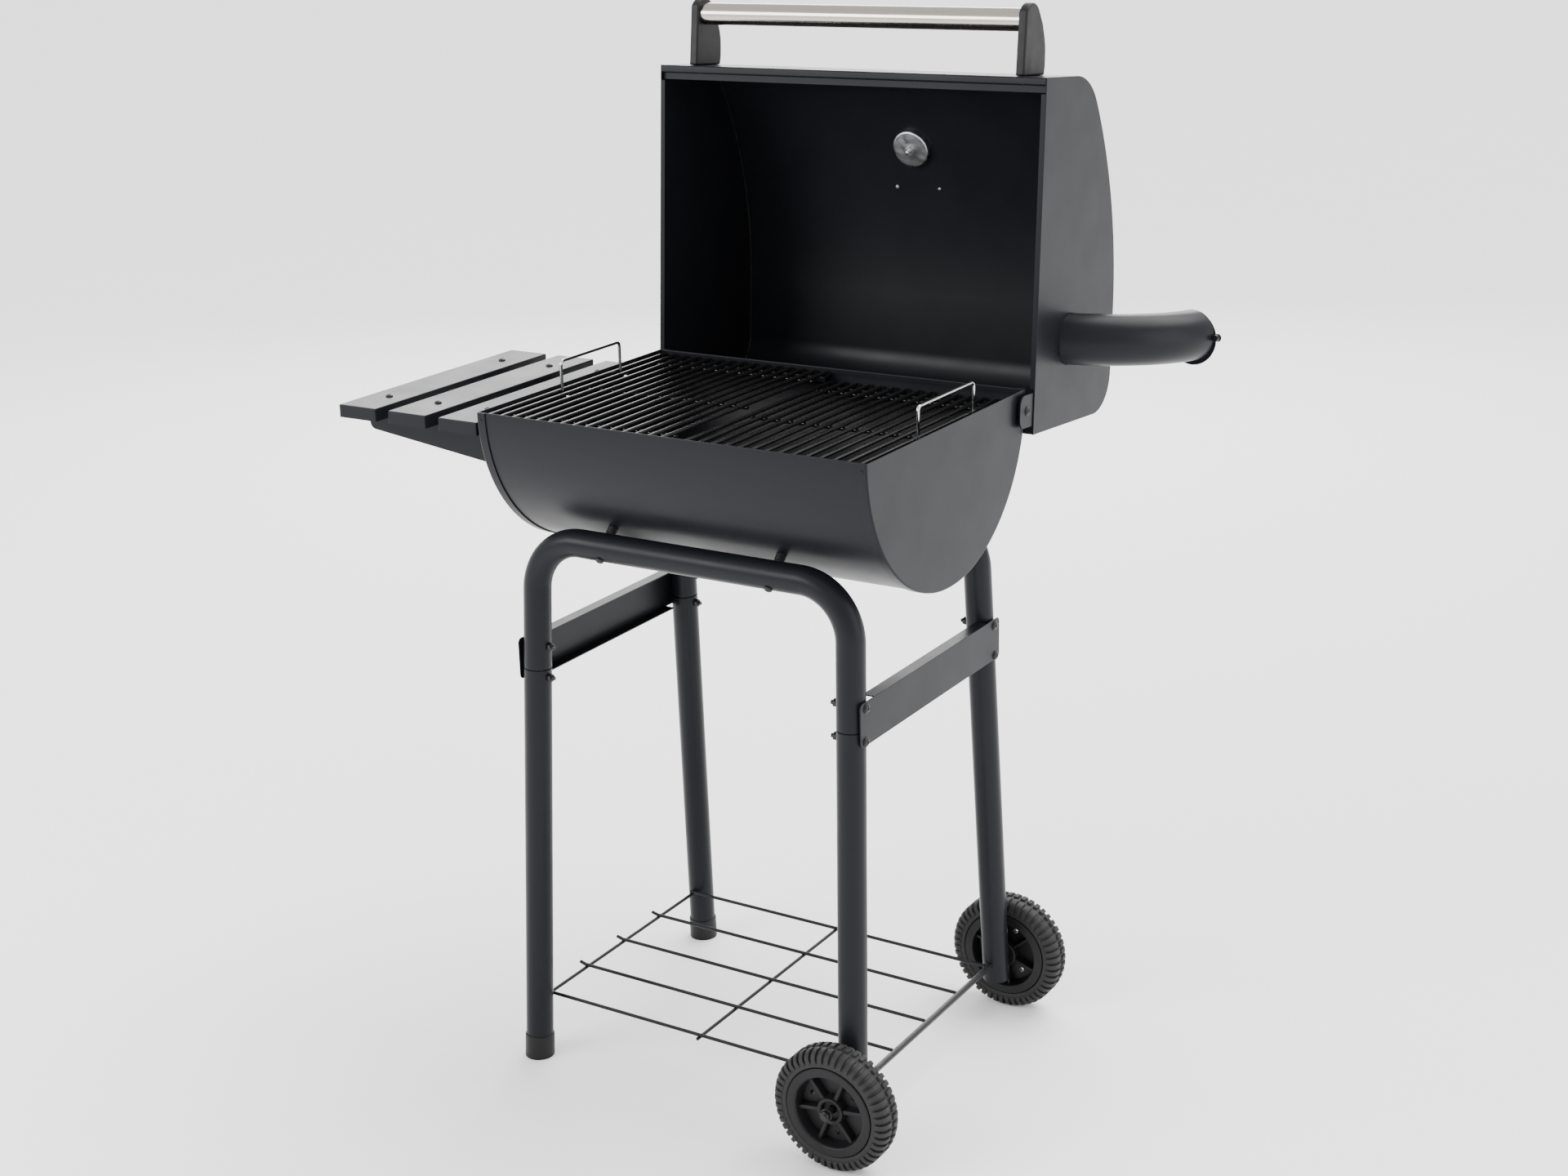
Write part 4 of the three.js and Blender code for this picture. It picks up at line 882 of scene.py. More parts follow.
class GRILL_OT_lid(bpy.types.Operator):
    """Rolls the lid's shell with its turned-in lips and fits the two flat ends"""

    bl_idname = "grill.lid"
    bl_label = "Lid"

    def execute(self, context):
        sheet = sizes().sheet
        low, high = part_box("lid_shell")
        body = lid_profile(sheet / 2, 20)
        edge = LID_WIDTH - sheet / 2
        bend = LID_WIDTH - LID_LIP
        strip = [(bend, sheet / 2), (bend - 1.4 * MM, STRIP_DEPTH), (LID_WIDTH - 2.2 * LID_LIP, STRIP_DEPTH)]
        turn, fold = 1.6 * MM, 0.9 * MM
        front_fold = rounded([body[-2], (edge, sheet / 2)] + strip, [0, turn, fold, fold, 0])
        rear_fold = rounded([(LID_LIP, sheet / 2), (sheet / 2, sheet / 2), body[1]], [0, turn, 0])
        chain = rear_fold[:-1] + body[1:-1] + front_fold[1:]
        points = [lid_point(u, v, low.x - MIDDLE.x) for u, v in chain]
        shell = bent_sheet("lid_shell_rolled", points, (high.x - low.x, 0, 0), sheet)
        spot, out = crown_at(THERMO_U)
        cut_out(shell, turned("hole", plug(THERMO_HOLE, -30 * MM, 30 * MM), spot, out, 48))
        done(shell, "powder", "lid", "lid_shell")
        for hand, side in reversed(HANDS):
            self.end(hand, side, sheet)
        return {"FINISHED"}

    def end(self, hand, side, sheet):
        outline = lid_profile(0, 20)
        points = [lid_point(u, v, side * (LID_HALF - sheet)) for u, v in outline]
        plate = prism(f"lid_end_{hand}_plate", points, (side * sheet, 0, 0))
        soften(plate, 0.5 * MM, 3)
        ends = (55 * MM, LID_WIDTH - 19 * MM)
        inner, outer = side * (LID_HALF - END_LIP_DEPTH), side * (LID_HALF - sheet * 0.6)
        lip_points = [lid_point(ends[0], 0, inner), lid_point(ends[1], 0, inner),
                      lid_point(ends[1], 0, outer), lid_point(ends[0], 0, outer)]
        lip = soften(prism("lip", lip_points, LID_V * sheet), 0.3 * MM)
        if side > 0:
            first, into, *_ = chimney_route()
            bore = plug(CHIMNEY_RADIUS + 0.5 * MM, -20 * MM, 30 * MM)
            cut_out(plate, turned("bore", bore, first, into, 48))
        done(joined(f"lid_end_{hand}_plate", [plate, lip]), "powder", "lid", f"lid_end_{hand}")


class GRILL_OT_hinges(bpy.types.Operator):
    """Stamps the hinge ears and fits their bolts"""

    bl_idname = "grill.hinges"
    bl_label = "Hinges"

    def execute(self, context):
        for hand, side in HANDS:
            low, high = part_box(f"hinge_ear_{hand}")
            near, far = sorted((abs(low.x - MIDDLE.x), abs(high.x - MIDDLE.x)))
            a, b = HINGE_ALONG - EAR_HALF, HINGE_ALONG + EAR_HALF
            tip = -HINGE_UNDER - EAR_TIP
            corners = [(a, EAR_ROOT), (a, tip), (b, tip), (b, EAR_ROOT)]
            outline = rounded(corners, [0, 12 * MM, 12 * MM, 0], 8, closed=True)
            points = [lid_point(u, v, side * near) for u, v in outline]
            ear = soften(prism(f"hinge_ear_{hand}_stamped", points, (side * (far - near), 0, 0)), 0.5 * MM)
            done(ear, "powder", "lid", f"hinge_ear_{hand}")
            out = Vector((side, 0, 0))
            outside = HINGE + out * (far + GAP)
            bowl_face = HINGE + out * (BOWL_HALF + GAP)
            inside = HINGE + out * (BOWL_HALF - sizes().sheet - GAP)
            parts = [
                pan_screw("head", 4.6 * MM, outside, out, washer=6 * MM),
                turned("spacer", plug(7 * MM, 0, 3.6 * MM), bowl_face, out, 24),
                hexagon("nut", 5.2 * MM, 0, 3.6 * MM, inside, -out),
            ]
            done(joined(f"hinge_bolt_{hand}_set", parts), "black_zinc", "stand", f"hinge_bolt_{hand}")
        return {"FINISHED"}


HANDLE_U = LID_WIDTH + 64 * MM  # the handle tube's centre
HANDLE_V = 33 * MM
BRACKET_NOSE = 20 * MM


class GRILL_OT_handle(bpy.types.Operator):
    """Moulds the two handle brackets and fits the polished tube between them"""

    bl_idname = "grill.handle"
    bl_label = "Lid handle"

    def execute(self, context):
        tube_low, tube_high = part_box("handle_tube")
        radius = (tube_high.z - tube_low.z) / 2
        for hand, side in HANDS:
            low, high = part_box(f"handle_bracket_{hand}")
            near, far = sorted((abs(low.x - MIDDLE.x), abs(high.x - MIDDLE.x)))
            base = LID_WIDTH + GAP
            crest = rounded([(base, 68 * MM), (base + 12 * MM, 70 * MM), (base + 36 * MM, 69.5 * MM),
                             (base + 60 * MM, 60 * MM)], [0, 40 * MM, 60 * MM, 0], 5)
            nose = arc((HANDLE_U, HANDLE_V), BRACKET_NOSE, -62, 58, 14)
            outline = [(base, 12 * MM), (base + 4 * MM, 12.4 * MM)] + nose + crest[::-1]
            points = [lid_point(u, v, side * near) for u, v in outline]
            piece = prism(f"handle_bracket_{hand}_moulded", points, (side * (far - near), 0, 0))
            soften(piece, 2.4 * MM, 4)
            done(piece, "plastic", "lid", f"handle_bracket_{hand}", angle=math.radians(50))
        start = lid_point(HANDLE_U, HANDLE_V, tube_low.x - MIDDLE.x)
        end = lid_point(HANDLE_U, HANDLE_V, tube_high.x - MIDDLE.x)
        tube = run("handle_tube_polished", [start, end], radius, sides=64, wall=1 * MM)
        done(tube, "stainless", "lid", "handle_tube")
        return {"FINISHED"}


THERMO_U = 319 * MM
BADGE_U = 266 * MM
BADGE_HALF = (40 * MM, 12 * MM)
BADGE_RIVET_X = 31 * MM
DIAL_RADIUS = 30.5 * MM
LABEL_RADIUS = 19 * MM
LABELS = ("50", "100", "150", "200", "250", "300", "350")
LABEL_START = 225  # degrees from the dial's right, anticlockwise
LABEL_STEP = 45


class GRILL_OT_thermometer(bpy.types.Operator):
    """Builds the lid thermometer, with its dial outside and its nut inside, and the plain badge"""

    bl_idname = "grill.thermometer"
    bl_label = "Thermometer"

    def execute(self, context):
        spot, out = crown_at(THERMO_U)
        cup = in_mm((0, -9.5), (9, -9.5), (10, -9.1), (22.5, -9.1), (24.2, -8.8), (25, -8), (25, 0.3))
        rim = in_mm((33, 0.3), (33, 7.6), (32.2, 8.8), (31.2, 9), (30.8, 8.4), (30.8, 1.6), (0, 1.6))
        case = turned("thermometer_case_pressed", cup + rim, spot, out, 64)
        nut = hexagon("nut", 6.2 * MM, 9.3 * MM, 13.6 * MM, spot, -out)
        rod = in_mm((0, 9.3), (2.6, 9.3), (2.6, 18.2), (1.8, 18.8), (0, 18.8))
        stud = turned("stud", rod, spot, -out, 16)
        done(joined("thermometer_case_pressed", [case, nut, stud]), "zinc", "lid", "thermometer_case")
        face = turned("thermometer_dial", plug(DIAL_RADIUS, 1.55 * MM, 1.85 * MM), spot, out, 64)
        done(face, "dial", "lid")
        self.marks(spot, out)
        glass = in_mm((0, 6.2), (30.6, 6.2), (30.6, 7.8), (0, 8.2))
        lens = turned("thermometer_lens", glass, spot, out, 64)
        done(lens, "glass", "lid")
        self.needle(spot, out)
        self.badge()
        return {"FINISHED"}

    def dial_matrix(self, spot, out):
        """Dial frame: X to the reader's right, Y up the dial, Z out, with the lid shut."""
        up = (-LID_U + out * LID_U.dot(out)).normalized()
        right = up.cross(out)
        basis = Matrix((right, up, out)).transposed().to_4x4()
        return Matrix.Translation(spot) @ basis

    def marks(self, spot, out):
        place = self.dial_matrix(spot, out)
        tick = block("ticks", (-0.35 * MM, 23.5 * MM, 1.8 * MM), (0.35 * MM, 28 * MM, 2.0 * MM))
        settle(tick, Matrix.Rotation(math.radians(135), 4, "Z"))
        parts = [repeated(tick, 18, -math.radians(270))]
        for i, text in enumerate(LABELS):
            angle = math.radians(LABEL_START - LABEL_STEP * i)
            deselect_all()
            bpy.ops.object.text_add(location=ORIGIN)
            label = bpy.context.object
            label.data.body = text
            label.data.size = 5.2 * MM
            label.data.align_x = "CENTER"
            label.data.align_y = "CENTER"
            label.data.extrude = 0.08 * MM
            bpy.ops.object.convert(target="MESH")
            place_on_dial = (LABEL_RADIUS * math.cos(angle), LABEL_RADIUS * math.sin(angle), 1.9 * MM)
            parts.append(settle(bpy.context.object, Matrix.Translation(place_on_dial)))
        done(settle(joined("thermometer_marks", parts), place), "mark", "lid")

    def needle(self, spot, out):
        low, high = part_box("thermometer_needle")
        centre = (low + high) / 2
        along = (centre - spot) - out * (centre - spot).dot(out)
        along.normalize()
        across = out.cross(along)
        basis = Matrix((along, across, out)).transposed().to_4x4()
        outline = in_mm((-8, -1.2), (-3, -1.6), (20, -0.5), (23, 0), (20, 0.5), (-3, 1.6), (-8, 1.2))
        pointer = prism("pointer", [(x, y, 2.9 * MM) for x, y in outline], (0, 0, 0.5 * MM))
        hub = turned("hub", in_mm((0, 1.9), (3, 1.9), (3, 4.2), (2.2, 4.7), (0, 4.8)), steps=24)
        piece = settle(joined("thermometer_needle_painted", [pointer, hub]), Matrix.Translation(spot) @ basis)
        done(piece, "red", "needle", "thermometer_needle")

    def badge(self):
        spot, out = crown_at(BADGE_U)
        right = Vector((1, 0, 0))
        basis = Matrix((right, out.cross(right), out)).transposed().to_4x4()
        place = Matrix.Translation(spot) @ basis
        long, wide = BADGE_HALF
        turns = [math.tau * i / 48 for i in range(48)]
        oval = [(long * math.cos(a), wide * math.sin(a), GAP) for a in turns]
        parts = [soften(prism("plate", oval, (0, 0, 1.4 * MM)), 0.5 * MM)]
        tail = in_mm((0, 0), (1.6, 0), (1.6, 1), (2.9, 1.1), (2.4, 2.4), (0, 3))
        head = in_mm((0, 1.4), (2.8, 1.4), (2, 2.3), (0, 2.6))
        for _, side in HANDS:
            x = side * BADGE_RIVET_X
            parts.append(turned("tail", tail, (x, 0, -0.3 * MM), (0, 0, -1), 16))
            parts.append(turned("head", head, (x, 0, 0), UP, 16))
        done(settle(joined("badge_plain", parts), place), "zinc", "lid")


# ---------- chimney ----------
CHIMNEY_U = 105 * MM  # where its axis leaves the lid's end
CHIMNEY_V = 92 * MM
CHIMNEY_RADIUS = 31.5 * MM
CHIMNEY_BEND = 150 * MM
CHIMNEY_START = math.radians(15)
CHIMNEY_END = math.radians(80)
DAMPER_RADIUS = 33.5 * MM
DAMPER_REACH = 35.5 * MM  # the disc's centre from its screw
DAMPER_TURN = math.radians(6)


def chimney_route():
    """Start, first heading, corner, last heading and end of the chimney's axis."""
    mouth = lid_point(CHIMNEY_U, CHIMNEY_V, LID_HALF)
    across = Vector((1, 0, 0))
    into = across * math.cos(CHIMNEY_START) + LID_V * math.sin(CHIMNEY_START)
    out = across * math.cos(CHIMNEY_END) + LID_V * math.sin(CHIMNEY_END)
    reach = CHIMNEY_BEND * math.tan((CHIMNEY_END - CHIMNEY_START) / 2)
    corner = mouth + into * reach
    return mouth - into * 6 * MM, into, corner, out, corner + out * (reach + 4 * MM)


class GRILL_OT_chimney(bpy.types.Operator):
    """Bends the chimney and fits its swinging damper"""

    bl_idname = "grill.chimney"
    bl_label = "Chimney"

    def execute(self, context):
        start, _, corner, out, end = chimney_route()
        pipe = run("chimney_pipe_bent", [start, corner, end], CHIMNEY_RADIUS, bend=CHIMNEY_BEND, sides=56,
                   steps=22, wall=1 * MM)
        side = Vector((1, 0, 0)) * math.sin(CHIMNEY_END) - LID_V * math.cos(CHIMNEY_END)
        pivot = Vector(JOINTS["damper_swing"]["pos_m"])
        lug_end = pivot + out * 3.8 * MM
        lug = soften(run("lug", [lug_end - out * 6.6 * MM, lug_end], 4.2 * MM, sides=20), 0.5 * MM)
        root = pivot - side * 5.5 * MM
        neck = run("neck", [root + out * 0.5 * MM, pivot + out * 0.5 * MM], 3 * MM, sides=12)
        done(joined("chimney_pipe_bent", [pipe, lug, neck]), "powder", "lid", "chimney_pipe")
        self.damper(pivot, out, side)
        top = pivot + out * (5.7 * MM)
        done(pan_screw("damper_screw_head", 3.8 * MM, top, out), "black_zinc", "lid", "damper_screw")
        return {"FINISHED"}

    def damper(self, pivot, out, side):
        back = -side * math.cos(DAMPER_TURN) - LID_U * math.sin(DAMPER_TURN)
        centre = pivot + back * DAMPER_REACH
        face = out * 4.35 * MM
        rim = DAMPER_RADIUS
        flat = rim - 0.4 * MM
        profile = [(0, 0), (flat, 0), (rim, 0.5 * MM), (rim, 0.8 * MM), (flat, 1.2 * MM), (0, 1.2 * MM)]
        disc = turned("disc", profile, centre + face, out, 56)
        ear = turned("ear", plug(5 * MM, 0.05 * MM, 1.15 * MM), pivot + face, out, 24)
        done(joined("damper_plate_stamped", [disc, ear]), "powder", "damper", "damper_plate")


# ---------- stand ----------
LEG_LEAN_X = 0.0195  # how far a leg moves outwards for each metre down
LEG_LEAN_Y = 0.0562
LEG_TOP_X = 215.5 * MM  # half the legs' spread at the height of the frames' straight run
LEG_TOP_Y = 150 * MM
TUBE_WALL = 1.2 * MM
FLANGE_HALF = 138 * MM


def legs_at(across, side, z):
    """The axis of a leg at a height. Left legs are -1 across and front legs are -1 to the side."""
    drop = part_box("u_frame_front")[1].z - sizes().tube_radius - z
    x = across * (LEG_TOP_X + LEG_LEAN_X * drop)
    y = side * (LEG_TOP_Y + LEG_LEAN_Y * drop)
    return MIDDLE + Vector((x, y, z))


class GRILL_OT_stand(bpy.types.Operator):
    """Bends the two frames, fits the lower legs, foot caps and side plates"""

    bl_idname = "grill.stand"
    bl_label = "Stand"

    def execute(self, context):
        tube = sizes().tube_radius
        for end, side in ENDS:
            low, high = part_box(f"u_frame_{end}")
            seam, top = low.z, high.z - tube
            mouth = seam + 0.8 * MM
            route = ((-1, mouth), (-1, top), (1, top), (1, mouth))
            corners = [legs_at(across, side, z) for across, z in route]
            frame_tube = run(f"u_frame_{end}_bent", corners, tube, bend=sizes().frame_bend, sides=40,
                             steps=18, wall=TUBE_WALL)
            soften(frame_tube, 0.45 * MM)
            done(frame_tube, "powder", "stand", f"u_frame_{end}")
            for hand, across in HANDS:
                node = f"leg_{end}_{hand}"
                low_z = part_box(node)[0].z + 0.6 * MM
                outer_ends = [legs_at(across, side, z) for z in (low_z, seam - 0.4 * MM)]
                outer = run(node + "_tube", outer_ends, tube, sides=40, wall=TUBE_WALL)
                soften(outer, 0.45 * MM)
                spigot_ends = [legs_at(across, side, z) for z in (seam - 8 * MM, seam + 36 * MM)]
                spigot = run("spigot", spigot_ends, tube - 1.6 * MM, sides=32, wall=TUBE_WALL)
                done(joined(node + "_tube", [outer, spigot]), "powder", "stand", node)
            self.foot_cap(end, side)
        self.side_plates()
        return {"FINISHED"}

    def foot_cap(self, end, side):
        node = f"foot_cap_{end}"
        ground = legs_at(-1, side, 0)
        along = legs_at(-1, side, 100 * MM) - ground
        profile = in_mm((0, -3), (18.2, -3), (18.5, 0), (18.5, 4), (18.2, 5), (18.5, 6), (18.5, 27),
                        (18.1, 29.2), (17.3, 29.8), (17.2, 3), (0, 3))
        cap = turned(f"{node}_moulded", profile, ground, along, 48)
        edit(cap)
        trimmed(ORIGIN, (0, 0, -1))
        soften(cap, 0.5 * MM)
        done(cap, "plastic", "stand", node)

    def side_plates(self):
        low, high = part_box("side_plate_right")
        sheet = PLATE
        corners = [(low.y, low.z), (high.y, low.z), (high.y, high.z), (low.y, high.z)]
        outline = rounded(corners, 6 * MM, 5, closed=True)
        web = prism("web", [(high.x, y, z) for y, z in outline], (-sheet, 0, 0))
        parts = [soften(web, 0.5 * MM)]
        for level in (high.z - 0.55 * sheet, low.z + 0.55 * sheet):
            points = [(x, MIDDLE.y - FLANGE_HALF, level) for x in (high.x - 0.7 * sheet, low.x)]
            parts.append(bent_sheet("flange", points, (0, 2 * FLANGE_HALF, 0), sheet))
        piece = joined("side_plate_right_folded", parts)
        other = copy_of(piece, "side_plate_left_folded", mirrored("x", MIDDLE.x))
        done(piece, "powder", "stand", "side_plate_right")
        done(other, "powder", "stand", "side_plate_left")


class GRILL_OT_frame_bolts(bpy.types.Operator):
    """Fits the eight bolts that join frames, legs and side plates"""

    bl_idname = "grill.frame_bolts"
    bl_label = "Frame bolts"

    def execute(self, context):
        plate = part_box("side_plate_right")[1].x - MIDDLE.x
        tube = sizes().tube_radius
        head = pan_screw("head", 5 * MM, ORIGIN, (1, 0, 0), washer=6 * MM)
        tail = bolt_tail("tail", 2.9 * MM, 5.4 * MM, ORIGIN, (-1, 0, 0), 8 * MM)
        for end, side in ENDS:
            for hand, across in HANDS:
                for level in ("lower", "upper"):
                    node = f"frame_bolt_{end}_{hand}_{level}"
                    low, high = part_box(node)
                    centre = (low + high) / 2
                    turn = Matrix.Rotation(0 if across > 0 else math.pi, 4, "Z")
                    outside = Vector((MIDDLE.x + across * (plate + GAP), centre.y, centre.z))
                    leg_x = legs_at(across, side, centre.z).x
                    inside = Vector((leg_x - across * (tube + GAP), centre.y, centre.z))
                    parts = [copy_of(head, "head", Matrix.Translation(outside) @ turn),
                             copy_of(tail, "tail", Matrix.Translation(inside) @ turn)]
                    done(joined(f"{node}_set", parts), "black_zinc", "stand", node)
        for spare in (head, tail):
            bpy.data.objects.remove(spare)
        return {"FINISHED"}


# ---------- wheels ----------
TYRE_LOW, TYRE_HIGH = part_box("tyre_front")
WHEEL_RADIUS = (TYRE_HIGH.z - TYRE_LOW.z) / 2
WHEEL_HALF = (TYRE_HIGH.y - TYRE_LOW.y) / 2
HUB_RADIUS = 55 * MM
SPOKES = 6
DRAIN_HOLES = 3
DRAIN_CIRCLE = 31 * MM


class GRILL_OT_wheels(bpy.types.Operator):
    """Moulds the spoked hubs and the lugged tyres"""

    bl_idname = "grill.wheels"
    bl_label = "Wheels"

    def execute(self, context):
        hub = self.hub()
        tyre = self.tyre()
        for end, side in ENDS:
            centre = Vector(JOINTS[f"wheel_{end}_spin"]["pos_m"])
            turn = Matrix.Rotation(math.radians(90 if side < 0 else -90), 4, "X")
            clock = Matrix.Rotation(math.radians(8 if side < 0 else 21), 4, "Z")
            place = Matrix.Translation(centre) @ turn @ clock
            for part, key, node in ((hub, "plastic", f"wheel_hub_{end}"), (tyre, "tyre", f"tyre_{end}")):
                done(copy_of(part, f"{node}_moulded", place), key, f"wheel_{end}", node)
        for spare in (hub, tyre):
            bpy.data.objects.remove(spare)
        return {"FINISHED"}

    def hub(self):
        """Made along Z with its outer face up."""
        back = in_mm((5, -19), (16, -19), (17, -18), (17, -4), (41, -4), (43, -17), (44.5, -19), (54, -19),
                     (55, -18))
        front = in_mm((55, 18), (54, 19), (46, 19), (44.2, 18.2), (43, 16), (40.5, 3.5), (18.5, 3), (17, 12),
                      (16, 14), (13.5, 14.6), (12, 13.6), (11, 7.5), (5, 7))
        body = turned("hub", back + front, steps=72, closed=True)
        spoke = block("spoke", (14 * MM, -4.6 * MM, 2 * MM), (43.5 * MM, 4.6 * MM, 12.5 * MM))
        edit(spoke)
        pick(lambda f: f.normal.z > 0.9)
        bpy.ops.transform.resize(value=(1, 0.5, 1))
        bpy.ops.object.mode_set(mode="OBJECT")
        soften(spoke, 1.5 * MM, 4)
        rib = block("back_rib", (15 * MM, -1.5 * MM, -15 * MM), (43 * MM, 1.5 * MM, -3 * MM))
        ribs = repeated(joined("ribs", [spoke, soften(rib, 0.6 * MM)]), SPOKES)
        for i in range(DRAIN_HOLES):
            angle = math.pi / SPOKES + math.tau * i / DRAIN_HOLES
            place = (DRAIN_CIRCLE * math.cos(angle), DRAIN_CIRCLE * math.sin(angle), 0)
            cut_out(body, turned("drill", plug(3.2 * MM, -10 * MM, 10 * MM), place, UP, 24))
        return joined("hub", [body, ribs])

    def tyre(self):
        """Made along Z: a smooth carcass with a row of lugs over each shoulder."""
        inner = HUB_RADIUS + 0.3 * MM
        face = WHEEL_HALF - 1.6 * MM
        crown = WHEEL_RADIUS - 2.6 * MM
        half = [(inner, face - 3 * MM), (inner + 0.6 * MM, face - 1 * MM), (inner + 2.4 * MM, face),
                (62 * MM, face), (66.5 * MM, face - 1.4 * MM), (70 * MM, face - 4.5 * MM),
                (crown, face - 9 * MM), (crown, 1.4 * MM), (crown - 0.8 * MM, 0)]
        profile = half + [(r, -h) for r, h in reversed(half[:-1])]
        carcass = turned("tyre", profile, steps=96, closed=True)
        soften(carcass, 0.5 * MM, 2, math.radians(30))
        top, crest = WHEEL_HALF, WHEEL_RADIUS
        width = math.tau * WHEEL_RADIUS / sizes().lugs * 0.56
        outside = [(60.5 * MM, face - 0.5 * MM), (61.5 * MM, top - 0.4 * MM), (65 * MM, top),
                   (68.5 * MM, top - 0.8 * MM), (72.5 * MM, top - 4.2 * MM), (crest, top - 9 * MM),
                   (crest, 2.6 * MM)]
        inside = [(crest - 3 * MM, 1.6 * MM), (crest - 4 * MM, top - 9 * MM), (68.5 * MM, top - 5.5 * MM),
                  (64 * MM, face - 2.2 * MM)]
        lug = prism("lug", [(r, -width / 2, h) for r, h in outside + inside], (0, width, 0))
        repeated(soften(lug, 0.5 * MM, 1), sizes().lugs)
        half_pitch = Matrix.Rotation(math.pi / sizes().lugs, 4, "Z")
        other = copy_of(lug, "lug_row", Matrix.Diagonal((1, 1, -1, 1)) @ half_pitch)
        return joined("tyre", [carcass, lug, other])


AXLE_RADIUS = 4 * MM
AXLE_TIP = 9 * MM  # from the nut's seat to the end of the axle


class GRILL_OT_axle(bpy.types.Operator):
    """Fits the axle rod with a flanged nut and a thread end on each side"""

    bl_idname = "grill.axle"
    bl_label = "Axle"

    def execute(self, context):
        low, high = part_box("axle")
        centre = (low + high) / 2
        ends = [(centre.x, y, centre.z) for y in (low.y + AXLE_TIP, high.y - AXLE_TIP)]
        parts = [run("axle_rod", ends, AXLE_RADIUS, sides=28)]
        flange = in_mm((0, 0.8), (7.4, 0.8), (7.4, 1.8), (6.4, 2.3), (0, 2.3))
        for side, tip in ((-1, low.y), (1, high.y)):
            nut_at = Vector((centre.x, tip - side * AXLE_TIP, centre.z))
            parts.append(turned("flange", flange, nut_at, (0, side, 0), 32))
            parts.append(bolt_tail("axle_nut", 3.7 * MM, 6.6 * MM, nut_at + Vector((0, side * 1.8 * MM, 0)),
                                   (0, side, 0), 7.1 * MM))
        done(joined("axle_rod", parts), "black_zinc", "stand", "axle")
        return {"FINISHED"}


SHELF_WIRE = 2.2 * MM
SHELF_HALF = 163.5 * MM  # half the spread of the long wires
SHELF_LEFT = 229 * MM  # the left cross wire from the middle
LONG_WIRES = 5


class GRILL_OT_wire_shelf(bpy.types.Operator):
    """Welds the lower shelf from straight wires"""

    bl_idname = "grill.wire_shelf"
    bl_label = "Wire shelf"

    def execute(self, context):
        low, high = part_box("wire_shelf")
        r = SHELF_WIRE
        half = SHELF_HALF
        left = MIDDLE.x - SHELF_LEFT
        cross_z = low.z + r
        long_z = cross_z + 2 * r - 0.9 * MM
        parts = []
        for i in range(LONG_WIRES):
            y = MIDDLE.y + half * (2 * i / (LONG_WIRES - 1) - 1)
            start = [(left - r, y, long_z)]
            if 0 < i < LONG_WIRES - 1:
                start = [(low.x + 0.4 * MM, y, long_z + 2.4 * MM), (left - 1 * MM, y, long_z)]
            wire_run = run("long", start + [(high.x, y, long_z)], r, bend=3 * MM, sides=14, steps=3)
            parts.append(soften(wire_run, 0.7 * MM))
        for x, reach in ((left, (high.y - low.y) / 2), (MIDDLE.x, half + 5 * MM)):
            ends = [(x, y, cross_z) for y in (MIDDLE.y - reach, MIDDLE.y + reach)]
            cross = run("cross", ends, r, sides=14)
            parts.append(soften(cross, 0.7 * MM))
        done(joined("wire_shelf_welded", parts), "powder", "stand", "wire_shelf")
        return {"FINISHED"}


class GRILL_OT_side_shelf(bpy.types.Operator):
    """Folds the three slats and two brackets of the side shelf and screws them down"""

    bl_idname = "grill.side_shelf"
    bl_label = "Side shelf"

    def execute(self, context):
        sheet = sizes().sheet
        bracket_y = [sum(c.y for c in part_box(f"shelf_bracket_{end}")) / 2 for end in ("front", "rear")]
        for i in (1, 2, 3):
            node = f"shelf_slat_{i}"
            low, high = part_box(node)
            slat = block(f"{node}_folded", low, high)
            edit(slat, "EDGE")
            pick(lambda e: all(v.co.z > high.z - 1e-5 for v in e.verts)
                 or abs(e.verts[0].co.z - e.verts[1].co.z) > 1e-3, "edges")
            bpy.ops.mesh.bevel(offset=1.4 * MM, segments=4, affect="EDGES")
            hollow(lambda f: f.normal.z < -0.99, sheet, (0, 0, high.z - low.z - sheet))
            close_up()
            done(slat, "powder", "stand", node)
            screw_x = (low.x + high.x) / 2 + 1 * MM
            screws = [pan_screw("screw", 4.6 * MM, (screw_x, y, high.z), UP) for y in bracket_y]
            done(joined(f"slat_screws_{i}", screws), "black_zinc", "stand")
        for end, inward in (("front", 1), ("rear", -1)):
            self.bracket(f"shelf_bracket_{end}", inward)
        return {"FINISHED"}

    def bracket(self, node, inward):
        low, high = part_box(node)
        sheet = PLATE
        web_y = low.y if inward > 0 else high.y - sheet
        corners = [(low.x, high.z), (low.x, high.z - 25 * MM), (high.x, low.z), (high.x, high.z)]
        outline = rounded(corners, [0, 9 * MM, 0, 0], 6, closed=True)
        web = soften(prism("web", [(x, web_y, z) for x, z in outline], (0, sheet, 0)), 0.35 * MM)
        parts = [web]
        for name, corner in (("top", (low.x + 1 * MM, low.y, high.z - sheet)),
                             ("foot", (high.x - sheet, low.y, low.z))):
            parts.append(soften(block(name, corner, high), 0.35 * MM))
        middle = (low.y + high.y) / 2 + inward * 1.5 * MM
        for drop in (12 * MM, 40 * MM):
            parts.append(pan_screw("screw", 4 * MM, (high.x - sheet, middle, high.z - drop), (-1, 0, 0)))
        done(joined(f"{node}_folded", parts), "powder", "stand", node)


